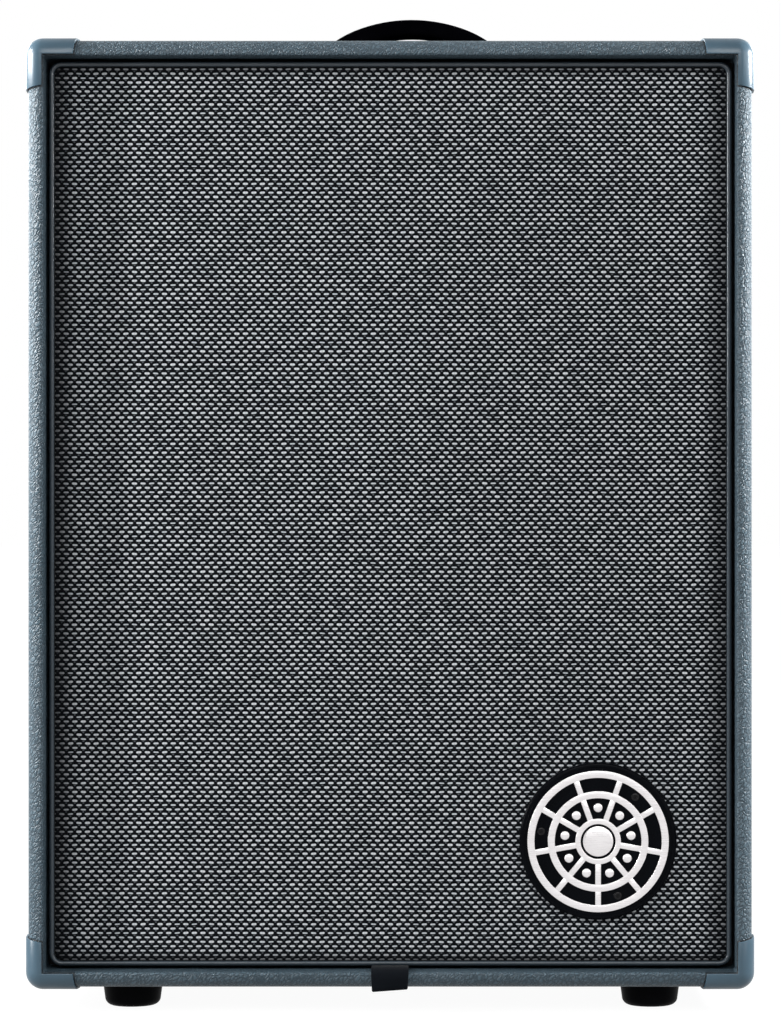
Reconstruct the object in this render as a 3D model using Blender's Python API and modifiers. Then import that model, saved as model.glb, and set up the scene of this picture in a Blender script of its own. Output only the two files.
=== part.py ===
"""Bass combo amplifier: a covered plywood cabinet with a slip-in grille, two woofers stacked
beside a horn and a port, and an amplifier let into the back.

Metres, +Z up. The front faces -Y. The origin is on the floor, under the middle of the cabinet.
"""

import math

import bmesh
import bpy
from mathutils import Matrix, Vector

# Clearances
GAP = 0.0003                    # between two pieces that touch
RUNNING_GAP = 0.0006            # round a piece that turns or slides
KNOB_LIFT = 0.0006              # between a knob's skirt and the panel

# Cabinet, outside
CABINET_WIDTH = 0.455
CABINET_DEPTH = 0.410
CABINET_HEIGHT = 0.595
LONG_EDGE_RADIUS = 0.0095       # the four edges that run front to back
RIM_EDGE_RADIUS = 0.006         # the edges round the front and the back
COVERING_THICKNESS = 0.001
PANEL_THICKNESS = 0.015
LIP_WIDTH = 0.010               # the rim that stands round the grille and the back panel
RECESS_CORNER_RADIUS = 0.0015

# Baffle and back
BAFFLE_THICKNESS = 0.015
BACK_SETBACK = 0.028
BACK_THICKNESS = 0.012
BATTEN_SIZE = 0.015

# Feet
FOOT_HEIGHT = 0.0158
FOOT_TOP_RADIUS = 0.0192
FOOT_BASE_RADIUS = 0.0178
FOOT_EDGE_RADIUS = 0.003
FOOT_SIDE_MARGIN = 0.0623       # from the cabinet's side to the foot's axis
FOOT_END_MARGIN = 0.045         # from the cabinet's front or back

# Corner protectors
PROTECTOR_THICKNESS = 0.0013
PROTECTOR_LEG = 0.0312          # along the cabinet's edges, at the outer corner
PROTECTOR_DEPTH = 0.036
PROTECTOR_LIP_COVER = 0.0092    # how far it covers the lip
PROTECTOR_FLARE = 0.12          # how fast a leg lengthens away from the lip
PROTECTOR_TAPER = 0.22          # how fast a leg shortens towards the opening
PROTECTOR_DIAGONAL = 0.047      # where the slanting cut crosses each flap

# Handle
HANDLE_OFFSET_X = 0.0106
HANDLE_RISE = 0.0393
ARCH_RADIUS = 0.096             # of the strap's middle line
ARCH_FLARE_RADIUS = 0.030
STRAP_THICKNESS = 0.010
STRAP_END_THICKNESS = 0.005
STRAP_WIDTH = 0.028
STRAP_LENGTH = 0.214
STRAP_EDGE_RADIUS = 0.002
CAP_LENGTH = 0.042
CAP_SIDE_WALL = 0.004
CAP_FLOOR = 0.0025
CAP_ROOF = 0.004
CAP_END_WALL = 0.020
CAP_EDGE_RADIUS = 0.003

# Grille
GRILLE_CLEARANCE = 0.0021       # all round, inside the lip
CLOTH_SETBACK = 0.017
CLOTH_THICKNESS = 0.001
PIPING_RADIUS = 0.00155
GRILLE_CORNER_RADIUS = 0.008
FRAME_THICKNESS = 0.013
FRAME_RAIL = 0.025
FRAME_WINDOW_RADIUS = 0.010
STRIP_THICKNESS = 0.006
STRIP_WIDTH = 0.018
STRIP_END_MARGIN = 0.0662       # between the strip's end and the grille's
BADGE_RADIUS = 0.0496
BADGE_THICKNESS = 0.004
BADGE_EDGE_RADIUS = 0.0015
BADGE_SIDE_MARGIN = 0.0965      # from the cabinet's side to the badge's middle
BADGE_BOTTOM_MARGIN = 0.0909
INLAY_RADIUS = 0.0446
INLAY_RING_WIDTH = 0.0032
INLAY_THICKNESS = 0.0008
INLAY_MIDDLE_RADIUS = 0.031
INLAY_MIDDLE_WIDTH = 0.0026
INLAY_HUB_RADIUS = 0.014
INLAY_SPOKES = 9
INLAY_SPOKE_WIDTH = 0.0016
TAB_WIDTH = 0.0235
TAB_THICKNESS = 0.0024          # of the two layers of webbing
TAB_FLAT_THICKNESS = 0.0007     # where the grille presses it
TAB_FRONT_GAP = 0.0005
TAB_BEND_RADIUS = 0.0026
TAB_DROP = 0.0021               # below the cabinet's bottom edge

# Woofers
WOOFER_MARGIN = 0.012           # between the two flanges
WOOFER_SIDE_MARGIN = 0.0092     # between the flange and the left panel
WOOFER_FLANGE_RADIUS = 0.128
WOOFER_FLANGE_THICKNESS = 0.005
WOOFER_BODY_RADIUS = 0.115
WOOFER_LEDGE_RADIUS = 0.1045
WOOFER_LEDGE_DROP = 0.002
WOOFER_WALL = 0.003
WOOFER_BACK_RADIUS = 0.060
WOOFER_BACK_DEPTH = 0.076
WOOFER_WINDOWS = 6
WOOFER_WINDOW_WIDTH = 0.044
MAGNET_RADIUS = 0.048
MAGNET_LENGTH = 0.042
MAGNET_CHAMFER = 0.004
COIL_RADIUS = 0.0252
COIL_WALL = 0.001
COIL_GROOVE_CLEARANCE = 0.0022
COIL_LENGTH = 0.048
CONE_RADIUS = 0.092
CONE_RIM = 0.004
CONE_THICKNESS = 0.0012
CONE_DEPTH = 0.045
CONE_TRAVEL = 0.005             # each way
DUST_CAP_RADIUS = 0.034
DUST_CAP_RISE = 0.012
SURROUND_THICKNESS = 0.001
SURROUND_LIP = 0.0065

# Horn and its driver
HORN_STRIP_MARGIN = 0.0177      # between the flange and the upper fastening strip
HORN_SIDE_MARGIN = 0.0122       # between the flange and the right panel
HORN_WOOFER_MARGIN = 0.015      # between the two flanges
HORN_FLANGE_THICKNESS = 0.004
HORN_FLANGE_CORNER = 0.012
HORN_MOUTH_RIM = 0.010          # of the flange beside the mouth
HORN_THROAT_RADIUS = 0.0125
HORN_LENGTH = 0.058
HORN_WALL = 0.003
HORN_BACK_FLANGE_RADIUS = 0.030
HORN_BACK_FLANGE_THICKNESS = 0.004
DRIVER_RADIUS = 0.042
DRIVER_LENGTH = 0.044
DRIVER_CHAMFER = 0.005

# Port
PORT_RADIUS = 0.040
PORT_SIDE_MARGIN = 0.018        # between the flange and the right panel
PORT_STRIP_MARGIN = 0.0015      # between the flange and the lower fastening strip
PORT_WALL = 0.003
PORT_LENGTH = 0.140
PORT_FLANGE_WIDTH = 0.010
PORT_FLANGE_THICKNESS = 0.003
PORT_FLARE_RADIUS = 0.008

# Crossover board
CROSSOVER_LENGTH = 0.120
CROSSOVER_WIDTH = 0.080
CROSSOVER_THICKNESS = 0.002
CROSSOVER_STANDOFF = 0.004
CROSSOVER_SIDE_MARGIN = 0.0612  # between the board and the right panel
CROSSOVER_REAR_MARGIN = 0.105
INDUCTOR_RADIUS = 0.019
INDUCTOR_HEIGHT = 0.020
CAPACITOR_RADIUS = 0.008
CAPACITOR_LENGTH = 0.030

# Amplifier
AMP_TOP_MARGIN = 0.0975         # from the cabinet's top to the amplifier's middle
CHASSIS_WIDTH = 0.330
CHASSIS_HEIGHT = 0.115
CHASSIS_DEPTH = 0.090
CHASSIS_WALL = 0.0015
PLATE_OVERLAP = 0.009           # of the control panel over the back panel, all round
PLATE_THICKNESS = 0.002
PLATE_CORNER_RADIUS = 0.004
UPPER_ROW = 0.029               # knobs, above the amplifier's middle
LOWER_ROW = -0.029              # sockets

# Knobs, from the input's side to the far side
KNOB_NAMES = ("gain_knob", "bass_knob", "mid_knob", "treble_knob", "volume_knob")
FIRST_KNOB_SPACING = 0.050      # from the mute button
LAST_KNOB_MARGIN = 0.025        # from the chassis's end
KNOB_RADIUS = 0.0095
KNOB_TOP_RADIUS = 0.0078
KNOB_HEIGHT = 0.014
KNOB_SKIRT = 0.003
KNOB_EDGE_RADIUS = 0.0012
KNOB_POINTER_WIDTH = 0.0012
KNOB_POINTER_DEPTH = 0.0005
SHAFT_RADIUS = 0.003
SHAFT_REACH = 0.010             # behind the control panel
POT_RADIUS = 0.008

# Circuit board behind the knobs
BOARD_BEHIND = 0.013            # behind the control panel
BOARD_THICKNESS = 0.0016
BOARD_HEIGHT = 0.046
BOARD_MARGIN = 0.016            # past the last pot at each side
BOARD_CAN_RADIUS = 0.009
BOARD_CAN_LENGTH = 0.022
BOARD_CAN_COUNT = 4
TRANSFORMER_SIZE = (0.050, 0.028, 0.034)

# Mute button
BUTTON_SPACING = 0.040          # from the jack
BUTTON_SIZE = 0.010
BUTTON_STAND = 0.006
BUTTON_EDGE_RADIUS = 0.001
BUTTON_TRAVEL = 0.0025
SWITCH_SIZE = 0.013

# Jack, line output and speaker output
JACK_MARGIN = 0.015             # from the chassis's end
JACK_BORE_RADIUS = 0.00325
JACK_COLLAR_RADIUS = 0.0078
JACK_COLLAR_THICKNESS = 0.003
JACK_NECK_RADIUS = 0.0055
JACK_BODY_RADIUS = 0.009
JACK_BODY_LENGTH = 0.020
JACK_BORE_DEPTH = 0.020
SOCKET_FLANGE_WIDTH = 0.026
SOCKET_FLANGE_HEIGHT = 0.031
SOCKET_FLANGE_THICKNESS = 0.002
SOCKET_CORNER_RADIUS = 0.003
SOCKET_BODY_RADIUS = 0.0118
SOCKET_BODY_LENGTH = 0.022
SOCKET_RECESS_DEPTH = 0.016
DI_MARGIN = 0.025               # from the chassis's end
DI_RECESS_RADIUS = 0.0095
DI_PIN_RADIUS = 0.0012
DI_PIN_CIRCLE = 0.0046
DI_PIN_LENGTH = 0.010
SPEAKER_OUT_SPACING = 0.038     # from the DI connector
SPEAKER_OUT_RECESS_RADIUS = 0.0102
SPEAKER_OUT_POST_RADIUS = 0.004
SPEAKER_OUT_POST_LENGTH = 0.009

# Mains inlet with its rocker switch
INLET_MARGIN = 0.043            # from the chassis's end
INLET_FLANGE_WIDTH = 0.058
INLET_FLANGE_HEIGHT = 0.028
INLET_FLANGE_THICKNESS = 0.003
INLET_FLANGE_MARGIN = 0.003     # of the flange round the body
INLET_BODY_LENGTH = 0.026
INLET_CORNER_RADIUS = 0.002
INLET_RECESS_X = -0.0115        # the recess's middle, from the module's middle
INLET_RECESS_WIDTH = 0.024
INLET_RECESS_HEIGHT = 0.0165
INLET_RECESS_DEPTH = 0.016
INLET_PIN_WIDTH = 0.004
INLET_PIN_THICKNESS = 0.002
INLET_PIN_LENGTH = 0.0105
INLET_PIN_SPACING = 0.007
ROCKER_OFFSET_X = 0.0175        # the rocker's middle, from the module's middle
ROCKER_WIDTH = 0.012
ROCKER_LENGTH = 0.019
ROCKER_THICKNESS = 0.006
ROCKER_TILT = math.radians(12.0)
ROCKER_DISH = 0.001             # of its face, at the middle

# Fan and heat sink
FAN_X = 0.030
FAN_SIZE = 0.050
FAN_DEPTH = 0.018
FAN_BORE_RADIUS = 0.0235
FAN_CORNER_RADIUS = 0.003
FAN_STRUTS = 4
FAN_STRUT_WIDTH = 0.003
FAN_STRUT_THICKNESS = 0.002
FAN_HUB_RADIUS = 0.009
FAN_PIN_RADIUS = 0.0015
ROTOR_TIP_CLEARANCE = 0.0015
ROTOR_DEPTH = 0.011
ROTOR_BLADES = 7
ROTOR_BLADE_THICKNESS = 0.0012
ROTOR_BLADE_PITCH = math.radians(50.0)
VENT_SLOTS = 5
VENT_SLOT_WIDTH = 0.0035
SINK_LENGTH = 0.120
SINK_DEPTH = 0.045
SINK_BASE = 0.004
SINK_HEIGHT = 0.032
SINK_FINS = 9
SINK_FIN_THICKNESS = 0.002
SINK_BEHIND = 0.004             # behind the fan

# Fineness of the round shapes
CORNER_SEGMENTS = 4
FINE_SEGMENTS = 2
WOOFER_STEPS = 28
ROUND_STEPS = 24
SMALL_STEPS = 16

# Places worked out from the sizes above
BODY_BOTTOM = FOOT_HEIGHT + GAP
BODY_TOP = BODY_BOTTOM + CABINET_HEIGHT
BODY_MIDDLE = BODY_BOTTOM + CABINET_HEIGHT / 2
FRONT = -CABINET_DEPTH / 2
REAR = CABINET_DEPTH / 2
CARCASS_INSET = COVERING_THICKNESS + GAP
INNER_INSET = CARCASS_INSET + PANEL_THICKNESS
RABBET_INSET = LIP_WIDTH - COVERING_THICKNESS - GAP
CLOTH_FRONT = FRONT + CLOTH_SETBACK
CLOTH_BACK = CLOTH_FRONT + CLOTH_THICKNESS
FRAME_FRONT = CLOTH_BACK + GAP
FRAME_BACK = FRAME_FRONT + FRAME_THICKNESS
STRIP_FRONT = FRAME_BACK + GAP
BAFFLE_FRONT = STRIP_FRONT + STRIP_THICKNESS + GAP
BAFFLE_BACK = BAFFLE_FRONT + BAFFLE_THICKNESS
BACK_OUTER = REAR - BACK_SETBACK
BACK_INNER = BACK_OUTER - BACK_THICKNESS
GRILLE_WIDTH = CABINET_WIDTH - 2 * (LIP_WIDTH + GRILLE_CLEARANCE)
GRILLE_HEIGHT = CABINET_HEIGHT - 2 * (LIP_WIDTH + GRILLE_CLEARANCE)
AMP_MIDDLE = BODY_TOP - AMP_TOP_MARGIN
PLATE_BACK = BACK_OUTER + GAP
PLATE_FRONT = PLATE_BACK + PLATE_THICKNESS
UPPER_Z = AMP_MIDDLE + UPPER_ROW
LOWER_Z = AMP_MIDDLE + LOWER_ROW
BODY_CENTRE = (0.0, 0.0, BODY_MIDDLE)
INNER_HALF_WIDTH = CABINET_WIDTH / 2 - INNER_INSET
HORN_FLANGE_SIZE = (
    2 * (INNER_HALF_WIDTH - WOOFER_FLANGE_RADIUS)
    - WOOFER_SIDE_MARGIN - HORN_WOOFER_MARGIN - HORN_SIDE_MARGIN
)
WOOFER_X = WOOFER_SIDE_MARGIN + WOOFER_FLANGE_RADIUS - INNER_HALF_WIDTH
COLUMN_X = INNER_HALF_WIDTH - HORN_SIDE_MARGIN - HORN_FLANGE_SIZE / 2
HORN_MOUTH_RADIUS = HORN_FLANGE_SIZE / 2 - HORN_MOUTH_RIM
PORT_FLANGE_RADIUS = PORT_RADIUS + PORT_WALL + PORT_FLANGE_WIDTH
PORT_X = INNER_HALF_WIDTH - PORT_SIDE_MARGIN - PORT_FLANGE_RADIUS
STRIP_LENGTH = GRILLE_WIDTH - 2 * STRIP_END_MARGIN
STRIP_OFFSET = GRILLE_HEIGHT / 2 - FRAME_RAIL / 2
STRIP_INNER_EDGE = STRIP_OFFSET - STRIP_WIDTH / 2
WOOFER_SPACING = 2 * WOOFER_FLANGE_RADIUS + WOOFER_MARGIN
HORN_RISE = STRIP_INNER_EDGE - HORN_STRIP_MARGIN - HORN_FLANGE_SIZE / 2
PORT_DROP = STRIP_INNER_EDGE - PORT_STRIP_MARGIN - PORT_FLANGE_RADIUS
FOOT_X = CABINET_WIDTH / 2 - FOOT_SIDE_MARGIN
FOOT_Y = CABINET_DEPTH / 2 - FOOT_END_MARGIN
BADGE_X = CABINET_WIDTH / 2 - BADGE_SIDE_MARGIN
BADGE_Z = BODY_BOTTOM + BADGE_BOTTOM_MARGIN
CROSSOVER_X = INNER_HALF_WIDTH - CROSSOVER_SIDE_MARGIN - CROSSOVER_LENGTH / 2
CROSSOVER_Y = BACK_INNER - CROSSOVER_REAR_MARGIN - CROSSOVER_WIDTH / 2
JACK_X = CHASSIS_WIDTH / 2 - JACK_MARGIN
BUTTON_X = JACK_X - BUTTON_SPACING
FIRST_KNOB_X = BUTTON_X - FIRST_KNOB_SPACING
LAST_KNOB_X = LAST_KNOB_MARGIN - CHASSIS_WIDTH / 2
KNOB_PITCH = (FIRST_KNOB_X - LAST_KNOB_X) / (len(KNOB_NAMES) - 1)
DI_X = CHASSIS_WIDTH / 2 - DI_MARGIN
SPEAKER_OUT_X = DI_X - SPEAKER_OUT_SPACING
INLET_X = INLET_MARGIN - CHASSIS_WIDTH / 2

# Directions: the local Z of a turned or upright shape points this way
UPWARD = (0.0, 0.0, 0.0)
REARWARD = (-math.pi / 2, 0.0, 0.0)
SIDE_PROFILE = (math.pi / 2, 0.0, math.pi / 2)   # a flat outline in Y and Z, thick along X
FRONT_PROFILE = (math.pi / 2, 0.0, 0.0)          # a flat outline in X and Z, thick along Y

# Looks: colour, roughness, metallic
VINYL = ((0.150, 0.200, 0.235), 0.45, 0.0)
CORNER_PLASTIC = ((0.140, 0.200, 0.235), 0.30, 0.0)
PLYWOOD = ((0.520, 0.370, 0.220), 0.75, 0.0)
BLACK_PAINT = ((0.012, 0.012, 0.013), 0.60, 0.0)
BLACK_RUBBER = ((0.010, 0.010, 0.010), 0.70, 0.0)
BLACK_PLASTIC = ((0.014, 0.014, 0.015), 0.40, 0.0)
CLOTH = ((0.080, 0.095, 0.100), 0.85, 0.0)
PIPING = ((0.075, 0.100, 0.115), 0.30, 0.0)
WEBBING = ((0.008, 0.008, 0.010), 0.70, 0.0)
SILVER = ((0.800, 0.800, 0.810), 0.25, 1.0)
STEEL = ((0.550, 0.560, 0.570), 0.35, 1.0)
BLACK_METAL = ((0.016, 0.016, 0.017), 0.50, 0.2)
ALUMINIUM = ((0.600, 0.610, 0.620), 0.40, 1.0)
CONE_PAPER = ((0.014, 0.014, 0.014), 0.80, 0.0)
CIRCUIT = ((0.020, 0.160, 0.060), 0.45, 0.0)


def clear_scene():
    for obj in list(bpy.data.objects):
        bpy.data.objects.remove(obj, do_unlink=True)


def new_collection(name):
    collection = bpy.data.collections.new(name)
    bpy.context.scene.collection.children.link(collection)
    return collection


clear_scene()
PARTS = new_collection("bass_combo_amplifier")
CUTTERS = new_collection("cutters")


# Objects, materials and Booleans

def new_material(name, look):
    colour, roughness, metallic = look
    material = bpy.data.materials.new(name)
    material.use_nodes = True
    shader = material.node_tree.nodes["Principled BSDF"]
    shader.inputs["Base Color"].default_value = (*colour, 1.0)
    shader.inputs["Roughness"].default_value = roughness
    shader.inputs["Metallic"].default_value = metallic
    material.diffuse_color = (*colour, 1.0)
    return material


def part(name, mesh, look, location=(0.0, 0.0, 0.0), rotation=UPWARD):
    """A piece of the amplifier, under its own name and with its own material."""
    obj = bpy.data.objects.new(name, mesh)
    obj.location = location
    obj.rotation_euler = rotation
    mesh.materials.clear()
    mesh.materials.append(new_material(name, look))
    PARTS.objects.link(obj)
    return obj


def tool(name, mesh, location=(0.0, 0.0, 0.0), rotation=UPWARD):
    """A helper that cuts, trims or is joined to a piece, and is no piece itself."""
    obj = bpy.data.objects.new(name, mesh)
    obj.location = location
    obj.rotation_euler = rotation
    obj.hide_render = True
    obj.display_type = "WIRE"
    CUTTERS.objects.link(obj)
    return obj


def combine(obj, other, operation):
    modifier = obj.modifiers.new(f"{operation.lower()}_{other.name}", "BOOLEAN")
    modifier.operation = operation
    modifier.object = other
    modifier.solver = "EXACT"


def cut(obj, *others):
    for other in others:
        combine(obj, other, "DIFFERENCE")


def join(obj, *others):
    for other in others:
        combine(obj, other, "UNION")


def keep_inside(obj, other):
    combine(obj, other, "INTERSECT")


def baked_mesh(obj, name):
    """The object's evaluated mesh in its own space, with the ends of a curve welded on."""
    graph = bpy.context.evaluated_depsgraph_get()
    mesh = bpy.data.meshes.new_from_object(obj.evaluated_get(graph))
    mesh.name = name
    bm = bmesh.new()
    bm.from_mesh(mesh)
    bmesh.ops.remove_doubles(bm, verts=bm.verts, dist=1e-6)
    bm.to_mesh(mesh)
    bm.free()
    return mesh


# Shapes

def finished(bm, name, smooth=True):
    bmesh.ops.recalc_face_normals(bm, faces=bm.faces)
    mesh = bpy.data.meshes.new(name)
    bm.to_mesh(mesh)
    bm.free()
    if smooth:
        mesh.shade_smooth()
        mesh.set_sharp_from_angle(angle=math.radians(35.0))
    return mesh


def round_edges(bm, edges, radius, segments):
    bmesh.ops.bevel(
        bm, geom=edges, offset=radius, offset_type="OFFSET", segments=segments,
        profile=0.5, affect="EDGES", clamp_overlap=False,
    )


def edges_along(bm, axis):
    """The straight edges that run along one axis: 0 for X, 1 for Y, 2 for Z."""
    return [
        edge for edge in bm.edges
        if abs((edge.verts[0].co - edge.verts[1].co).normalized()[axis]) > 0.999
    ]


def block_shape(size):
    bm = bmesh.new()
    bmesh.ops.create_cube(bm, size=1.0)
    bmesh.ops.scale(bm, vec=Vector(size), verts=bm.verts)
    return bm


def block(name, size):
    return finished(block_shape(size), name, smooth=False)


def rounded_block(name, size, axis, radius, segments=CORNER_SEGMENTS):
    """A block whose four edges along one axis are rounded."""
    bm = block_shape(size)
    round_edges(bm, edges_along(bm, axis), radius, segments)
    return finished(bm, name)


def soft_block(name, size, radius, segments=FINE_SEGMENTS):
    """A block with all its edges rounded."""
    bm = block_shape(size)
    round_edges(bm, list(bm.edges), radius, segments)
    return finished(bm, name)


def cylinder(name, radius, length, steps=SMALL_STEPS, top_radius=None):
    """A round bar or cone frustum along its own Z, about its middle."""
    bm = bmesh.new()
    bmesh.ops.create_cone(
        bm, cap_ends=True, cap_tris=False, segments=steps, radius1=radius,
        radius2=radius if top_radius is None else top_radius, depth=length,
    )
    return finished(bm, name)


def hole_radius(radius, steps, clearance=GAP):
    """The radius of a faceted hole that clears a round piece by the clearance at its flats."""
    return (radius + clearance) / math.cos(math.pi / steps)


def arc(centre, radius, start, end, steps):
    """Points along an arc, in the plane of a profile. The angles are in degrees."""
    points = []
    for step in range(steps + 1):
        angle = math.radians(start + (end - start) * step / steps)
        points.append((
            centre[0] + radius * math.cos(angle),
            centre[1] + radius * math.sin(angle),
        ))
    return points


def signed_area(points):
    total = 0.0
    for (x0, y0), (x1, y1) in zip(points, points[1:] + points[:1]):
        total += x0 * y1 - x1 * y0
    return total / 2


def turned(name, profile, steps, closed=False):
    """A mesh turned about Z from a profile of (radius, height) points.

    An open profile begins and ends on the axis. A closed one makes a ring.
    """
    points = list(profile)
    if signed_area(points) > 0:
        points.reverse()
    count = len(points)
    edges = [(i, i + 1) for i in range(count - 1)]
    if closed:
        edges.append((count - 1, 0))
    mesh = bpy.data.meshes.new(name + "_profile")
    mesh.from_pydata([(r, 0.0, h) for r, h in points], edges, [])
    guide = tool(name + "_turning", mesh)
    screw = guide.modifiers.new("turn", "SCREW")
    screw.axis = "Z"
    screw.angle = 2 * math.pi
    screw.steps = steps
    screw.render_steps = steps
    screw.use_merge_vertices = True
    screw.merge_threshold = 1e-6
    shape = baked_mesh(guide, name)
    bpy.data.objects.remove(guide, do_unlink=True)
    shape.shade_smooth()
    shape.set_sharp_from_angle(angle=math.radians(35.0))
    return shape


def flat_outline(name, points, thickness):
    """A flat outline in its own X and Y, as thick as given along its own Z, as a closed mesh."""
    curve = bpy.data.curves.new(name + "_outline", "CURVE")
    curve.dimensions = "2D"
    curve.fill_mode = "BOTH"
    curve.extrude = thickness / 2
    spline = curve.splines.new("POLY")
    spline.points.add(len(points) - 1)
    for point, (x, y) in zip(spline.points, points):
        point.co = (x, y, 0.0, 1.0)
    spline.use_cyclic_u = True
    guide = tool(name + "_outline", curve)
    mesh = baked_mesh(guide, name)
    bpy.data.objects.remove(guide, do_unlink=True)
    return mesh


def ribbon_outline(points, thicknesses):
    """The closed outline of a strip that follows a middle line, as thick as given at each point."""
    left = []
    right = []
    for i, (x, y) in enumerate(points):
        before = Vector(points[max(i - 1, 0)])
        after = Vector(points[min(i + 1, len(points) - 1)])
        along = (after - before).normalized()
        side = Vector((-along.y, along.x)) * thicknesses[i] / 2
        left.append((x + side.x, y + side.y))
        right.append((x - side.x, y - side.y))
    return left + right[::-1]


# Cabinet

def cabinet_form(name, grow):
    """The cabinet's rounded outer form, moved out by grow, or in where that is negative."""
    bm = block_shape((
        CABINET_WIDTH + 2 * grow, CABINET_DEPTH + 2 * grow, CABINET_HEIGHT + 2 * grow,
    ))
    round_edges(bm, edges_along(bm, 1), LONG_EDGE_RADIUS + grow, CORNER_SEGMENTS)
    long_edges = set(edges_along(bm, 1))
    rim = [edge for edge in bm.edges if edge not in long_edges]
    round_edges(bm, rim, RIM_EDGE_RADIUS + grow, CORNER_SEGMENTS - 1)
    return finished(bm, name)


def framed_prism(name, inset, y_low, y_high, corner_radius=0.0):
    """A tool that fills the cabinet's section, less an inset all round, between two depths."""
    size = (CABINET_WIDTH - 2 * inset, y_high - y_low, CABINET_HEIGHT - 2 * inset)
    if corner_radius:
        mesh = rounded_block(name, size, 1, corner_radius)
    else:
        mesh = block(name, size)
    return tool(name, mesh, (0.0, (y_low + y_high) / 2, BODY_MIDDLE))


def make_covering():
    covering = part("vinyl_covering", cabinet_form("vinyl_covering", 0.0), VINYL, BODY_CENTRE)
    hollow = tool("covering_hollow", cabinet_form("covering_hollow", -COVERING_THICKNESS), BODY_CENTRE)
    skin_middle = COVERING_THICKNESS / 2
    lining = framed_prism(
        "covering_lining", LIP_WIDTH - COVERING_THICKNESS, FRONT + skin_middle, REAR - skin_middle,
        RECESS_CORNER_RADIUS + COVERING_THICKNESS,
    )
    mouth = framed_prism(
        "covering_mouth", LIP_WIDTH, FRONT - LIP_WIDTH, REAR + LIP_WIDTH, RECESS_CORNER_RADIUS,
    )
    middle = framed_prism(
        "covering_middle", LIP_WIDTH / 2, BAFFLE_FRONT - GAP, BACK_OUTER + GAP,
    )
    cut(covering, hollow)
    join(covering, lining)
    cut(covering, mouth, middle)


def make_panels():
    """Four walls, rabbeted at the front for the baffle and at the back for the back panel."""
    front_rabbet = framed_prism("front_rabbet", RABBET_INSET, FRONT - LIP_WIDTH, BAFFLE_BACK + GAP)
    rear_rabbet = framed_prism("rear_rabbet", RABBET_INSET, BACK_INNER - GAP, REAR + LIP_WIDTH)
    past = PANEL_THICKNESS
    depth = CABINET_DEPTH + 2 * past
    wall_height = CABINET_HEIGHT - 2 * (INNER_INSET + GAP)
    level_offset = CABINET_HEIGHT / 2 - INNER_INSET + PANEL_THICKNESS / 2 + past / 2
    side_offset = CABINET_WIDTH / 2 - INNER_INSET + PANEL_THICKNESS / 2 + past / 2
    level_size = (CABINET_WIDTH + 2 * past, depth, PANEL_THICKNESS + past)
    side_size = (PANEL_THICKNESS + past, depth, wall_height)
    slabs = (
        ("top_panel", level_size, (0.0, 0.0, BODY_MIDDLE + level_offset)),
        ("bottom_panel", level_size, (0.0, 0.0, BODY_MIDDLE - level_offset)),
        ("left_side_panel", side_size, (-side_offset, 0.0, BODY_MIDDLE)),
        ("right_side_panel", side_size, (side_offset, 0.0, BODY_MIDDLE)),
    )
    for name, size, place in slabs:
        panel = part(name, cabinet_form(name, -CARCASS_INSET), PLYWOOD, BODY_CENTRE)
        keep_inside(panel, tool(name + "_slab", block(name + "_slab", size), place))
        cut(panel, front_rabbet, rear_rabbet)


def make_baffle():
    inset = 2 * (RABBET_INSET + GAP)
    size = (CABINET_WIDTH - inset, BAFFLE_THICKNESS, CABINET_HEIGHT - inset)
    middle_y = (BAFFLE_FRONT + BAFFLE_BACK) / 2
    baffle = part("baffle_board", block("baffle_board", size), BLACK_PAINT, (0.0, middle_y, BODY_MIDDLE))
    openings = [
        ("upper_woofer", WOOFER_X, WOOFER_SPACING / 2, WOOFER_BODY_RADIUS, WOOFER_STEPS),
        ("lower_woofer", WOOFER_X, -WOOFER_SPACING / 2, WOOFER_BODY_RADIUS, WOOFER_STEPS),
        ("horn", COLUMN_X, HORN_RISE, HORN_MOUTH_RADIUS + HORN_WALL, ROUND_STEPS),
        ("port", PORT_X, -PORT_DROP, PORT_RADIUS + PORT_WALL, ROUND_STEPS),
    ]
    for name, x, z, radius, steps in openings:
        mesh = cylinder(name + "_hole", hole_radius(radius, steps), 3 * BAFFLE_THICKNESS, steps)
        cut(baffle, tool(name + "_hole", mesh, (x, middle_y, BODY_MIDDLE + z), REARWARD))


def make_back():
    inset = 2 * (RABBET_INSET + GAP)
    size = (CABINET_WIDTH - inset, BACK_THICKNESS, CABINET_HEIGHT - inset)
    middle_y = (BACK_INNER + BACK_OUTER) / 2
    back = part("back_panel", block("back_panel", size), BLACK_PAINT, (0.0, middle_y, BODY_MIDDLE))
    opening_size = (CHASSIS_WIDTH + 2 * GAP, 3 * BACK_THICKNESS, CHASSIS_HEIGHT + 2 * GAP)
    opening = tool("chassis_opening", block("chassis_opening", opening_size), (0.0, middle_y, AMP_MIDDLE))
    cut(back, opening)

    outer = INNER_INSET + GAP
    size = (CABINET_WIDTH - 2 * outer, BATTEN_SIZE, CABINET_HEIGHT - 2 * outer)
    batten_y = BACK_INNER - GAP - BATTEN_SIZE / 2
    frame = part("rear_batten_frame", block("rear_batten_frame", size), PLYWOOD, (0.0, batten_y, BODY_MIDDLE))
    window = framed_prism(
        "batten_window", outer + BATTEN_SIZE, batten_y - BATTEN_SIZE, batten_y + BATTEN_SIZE,
    )
    cut(frame, window)


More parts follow.
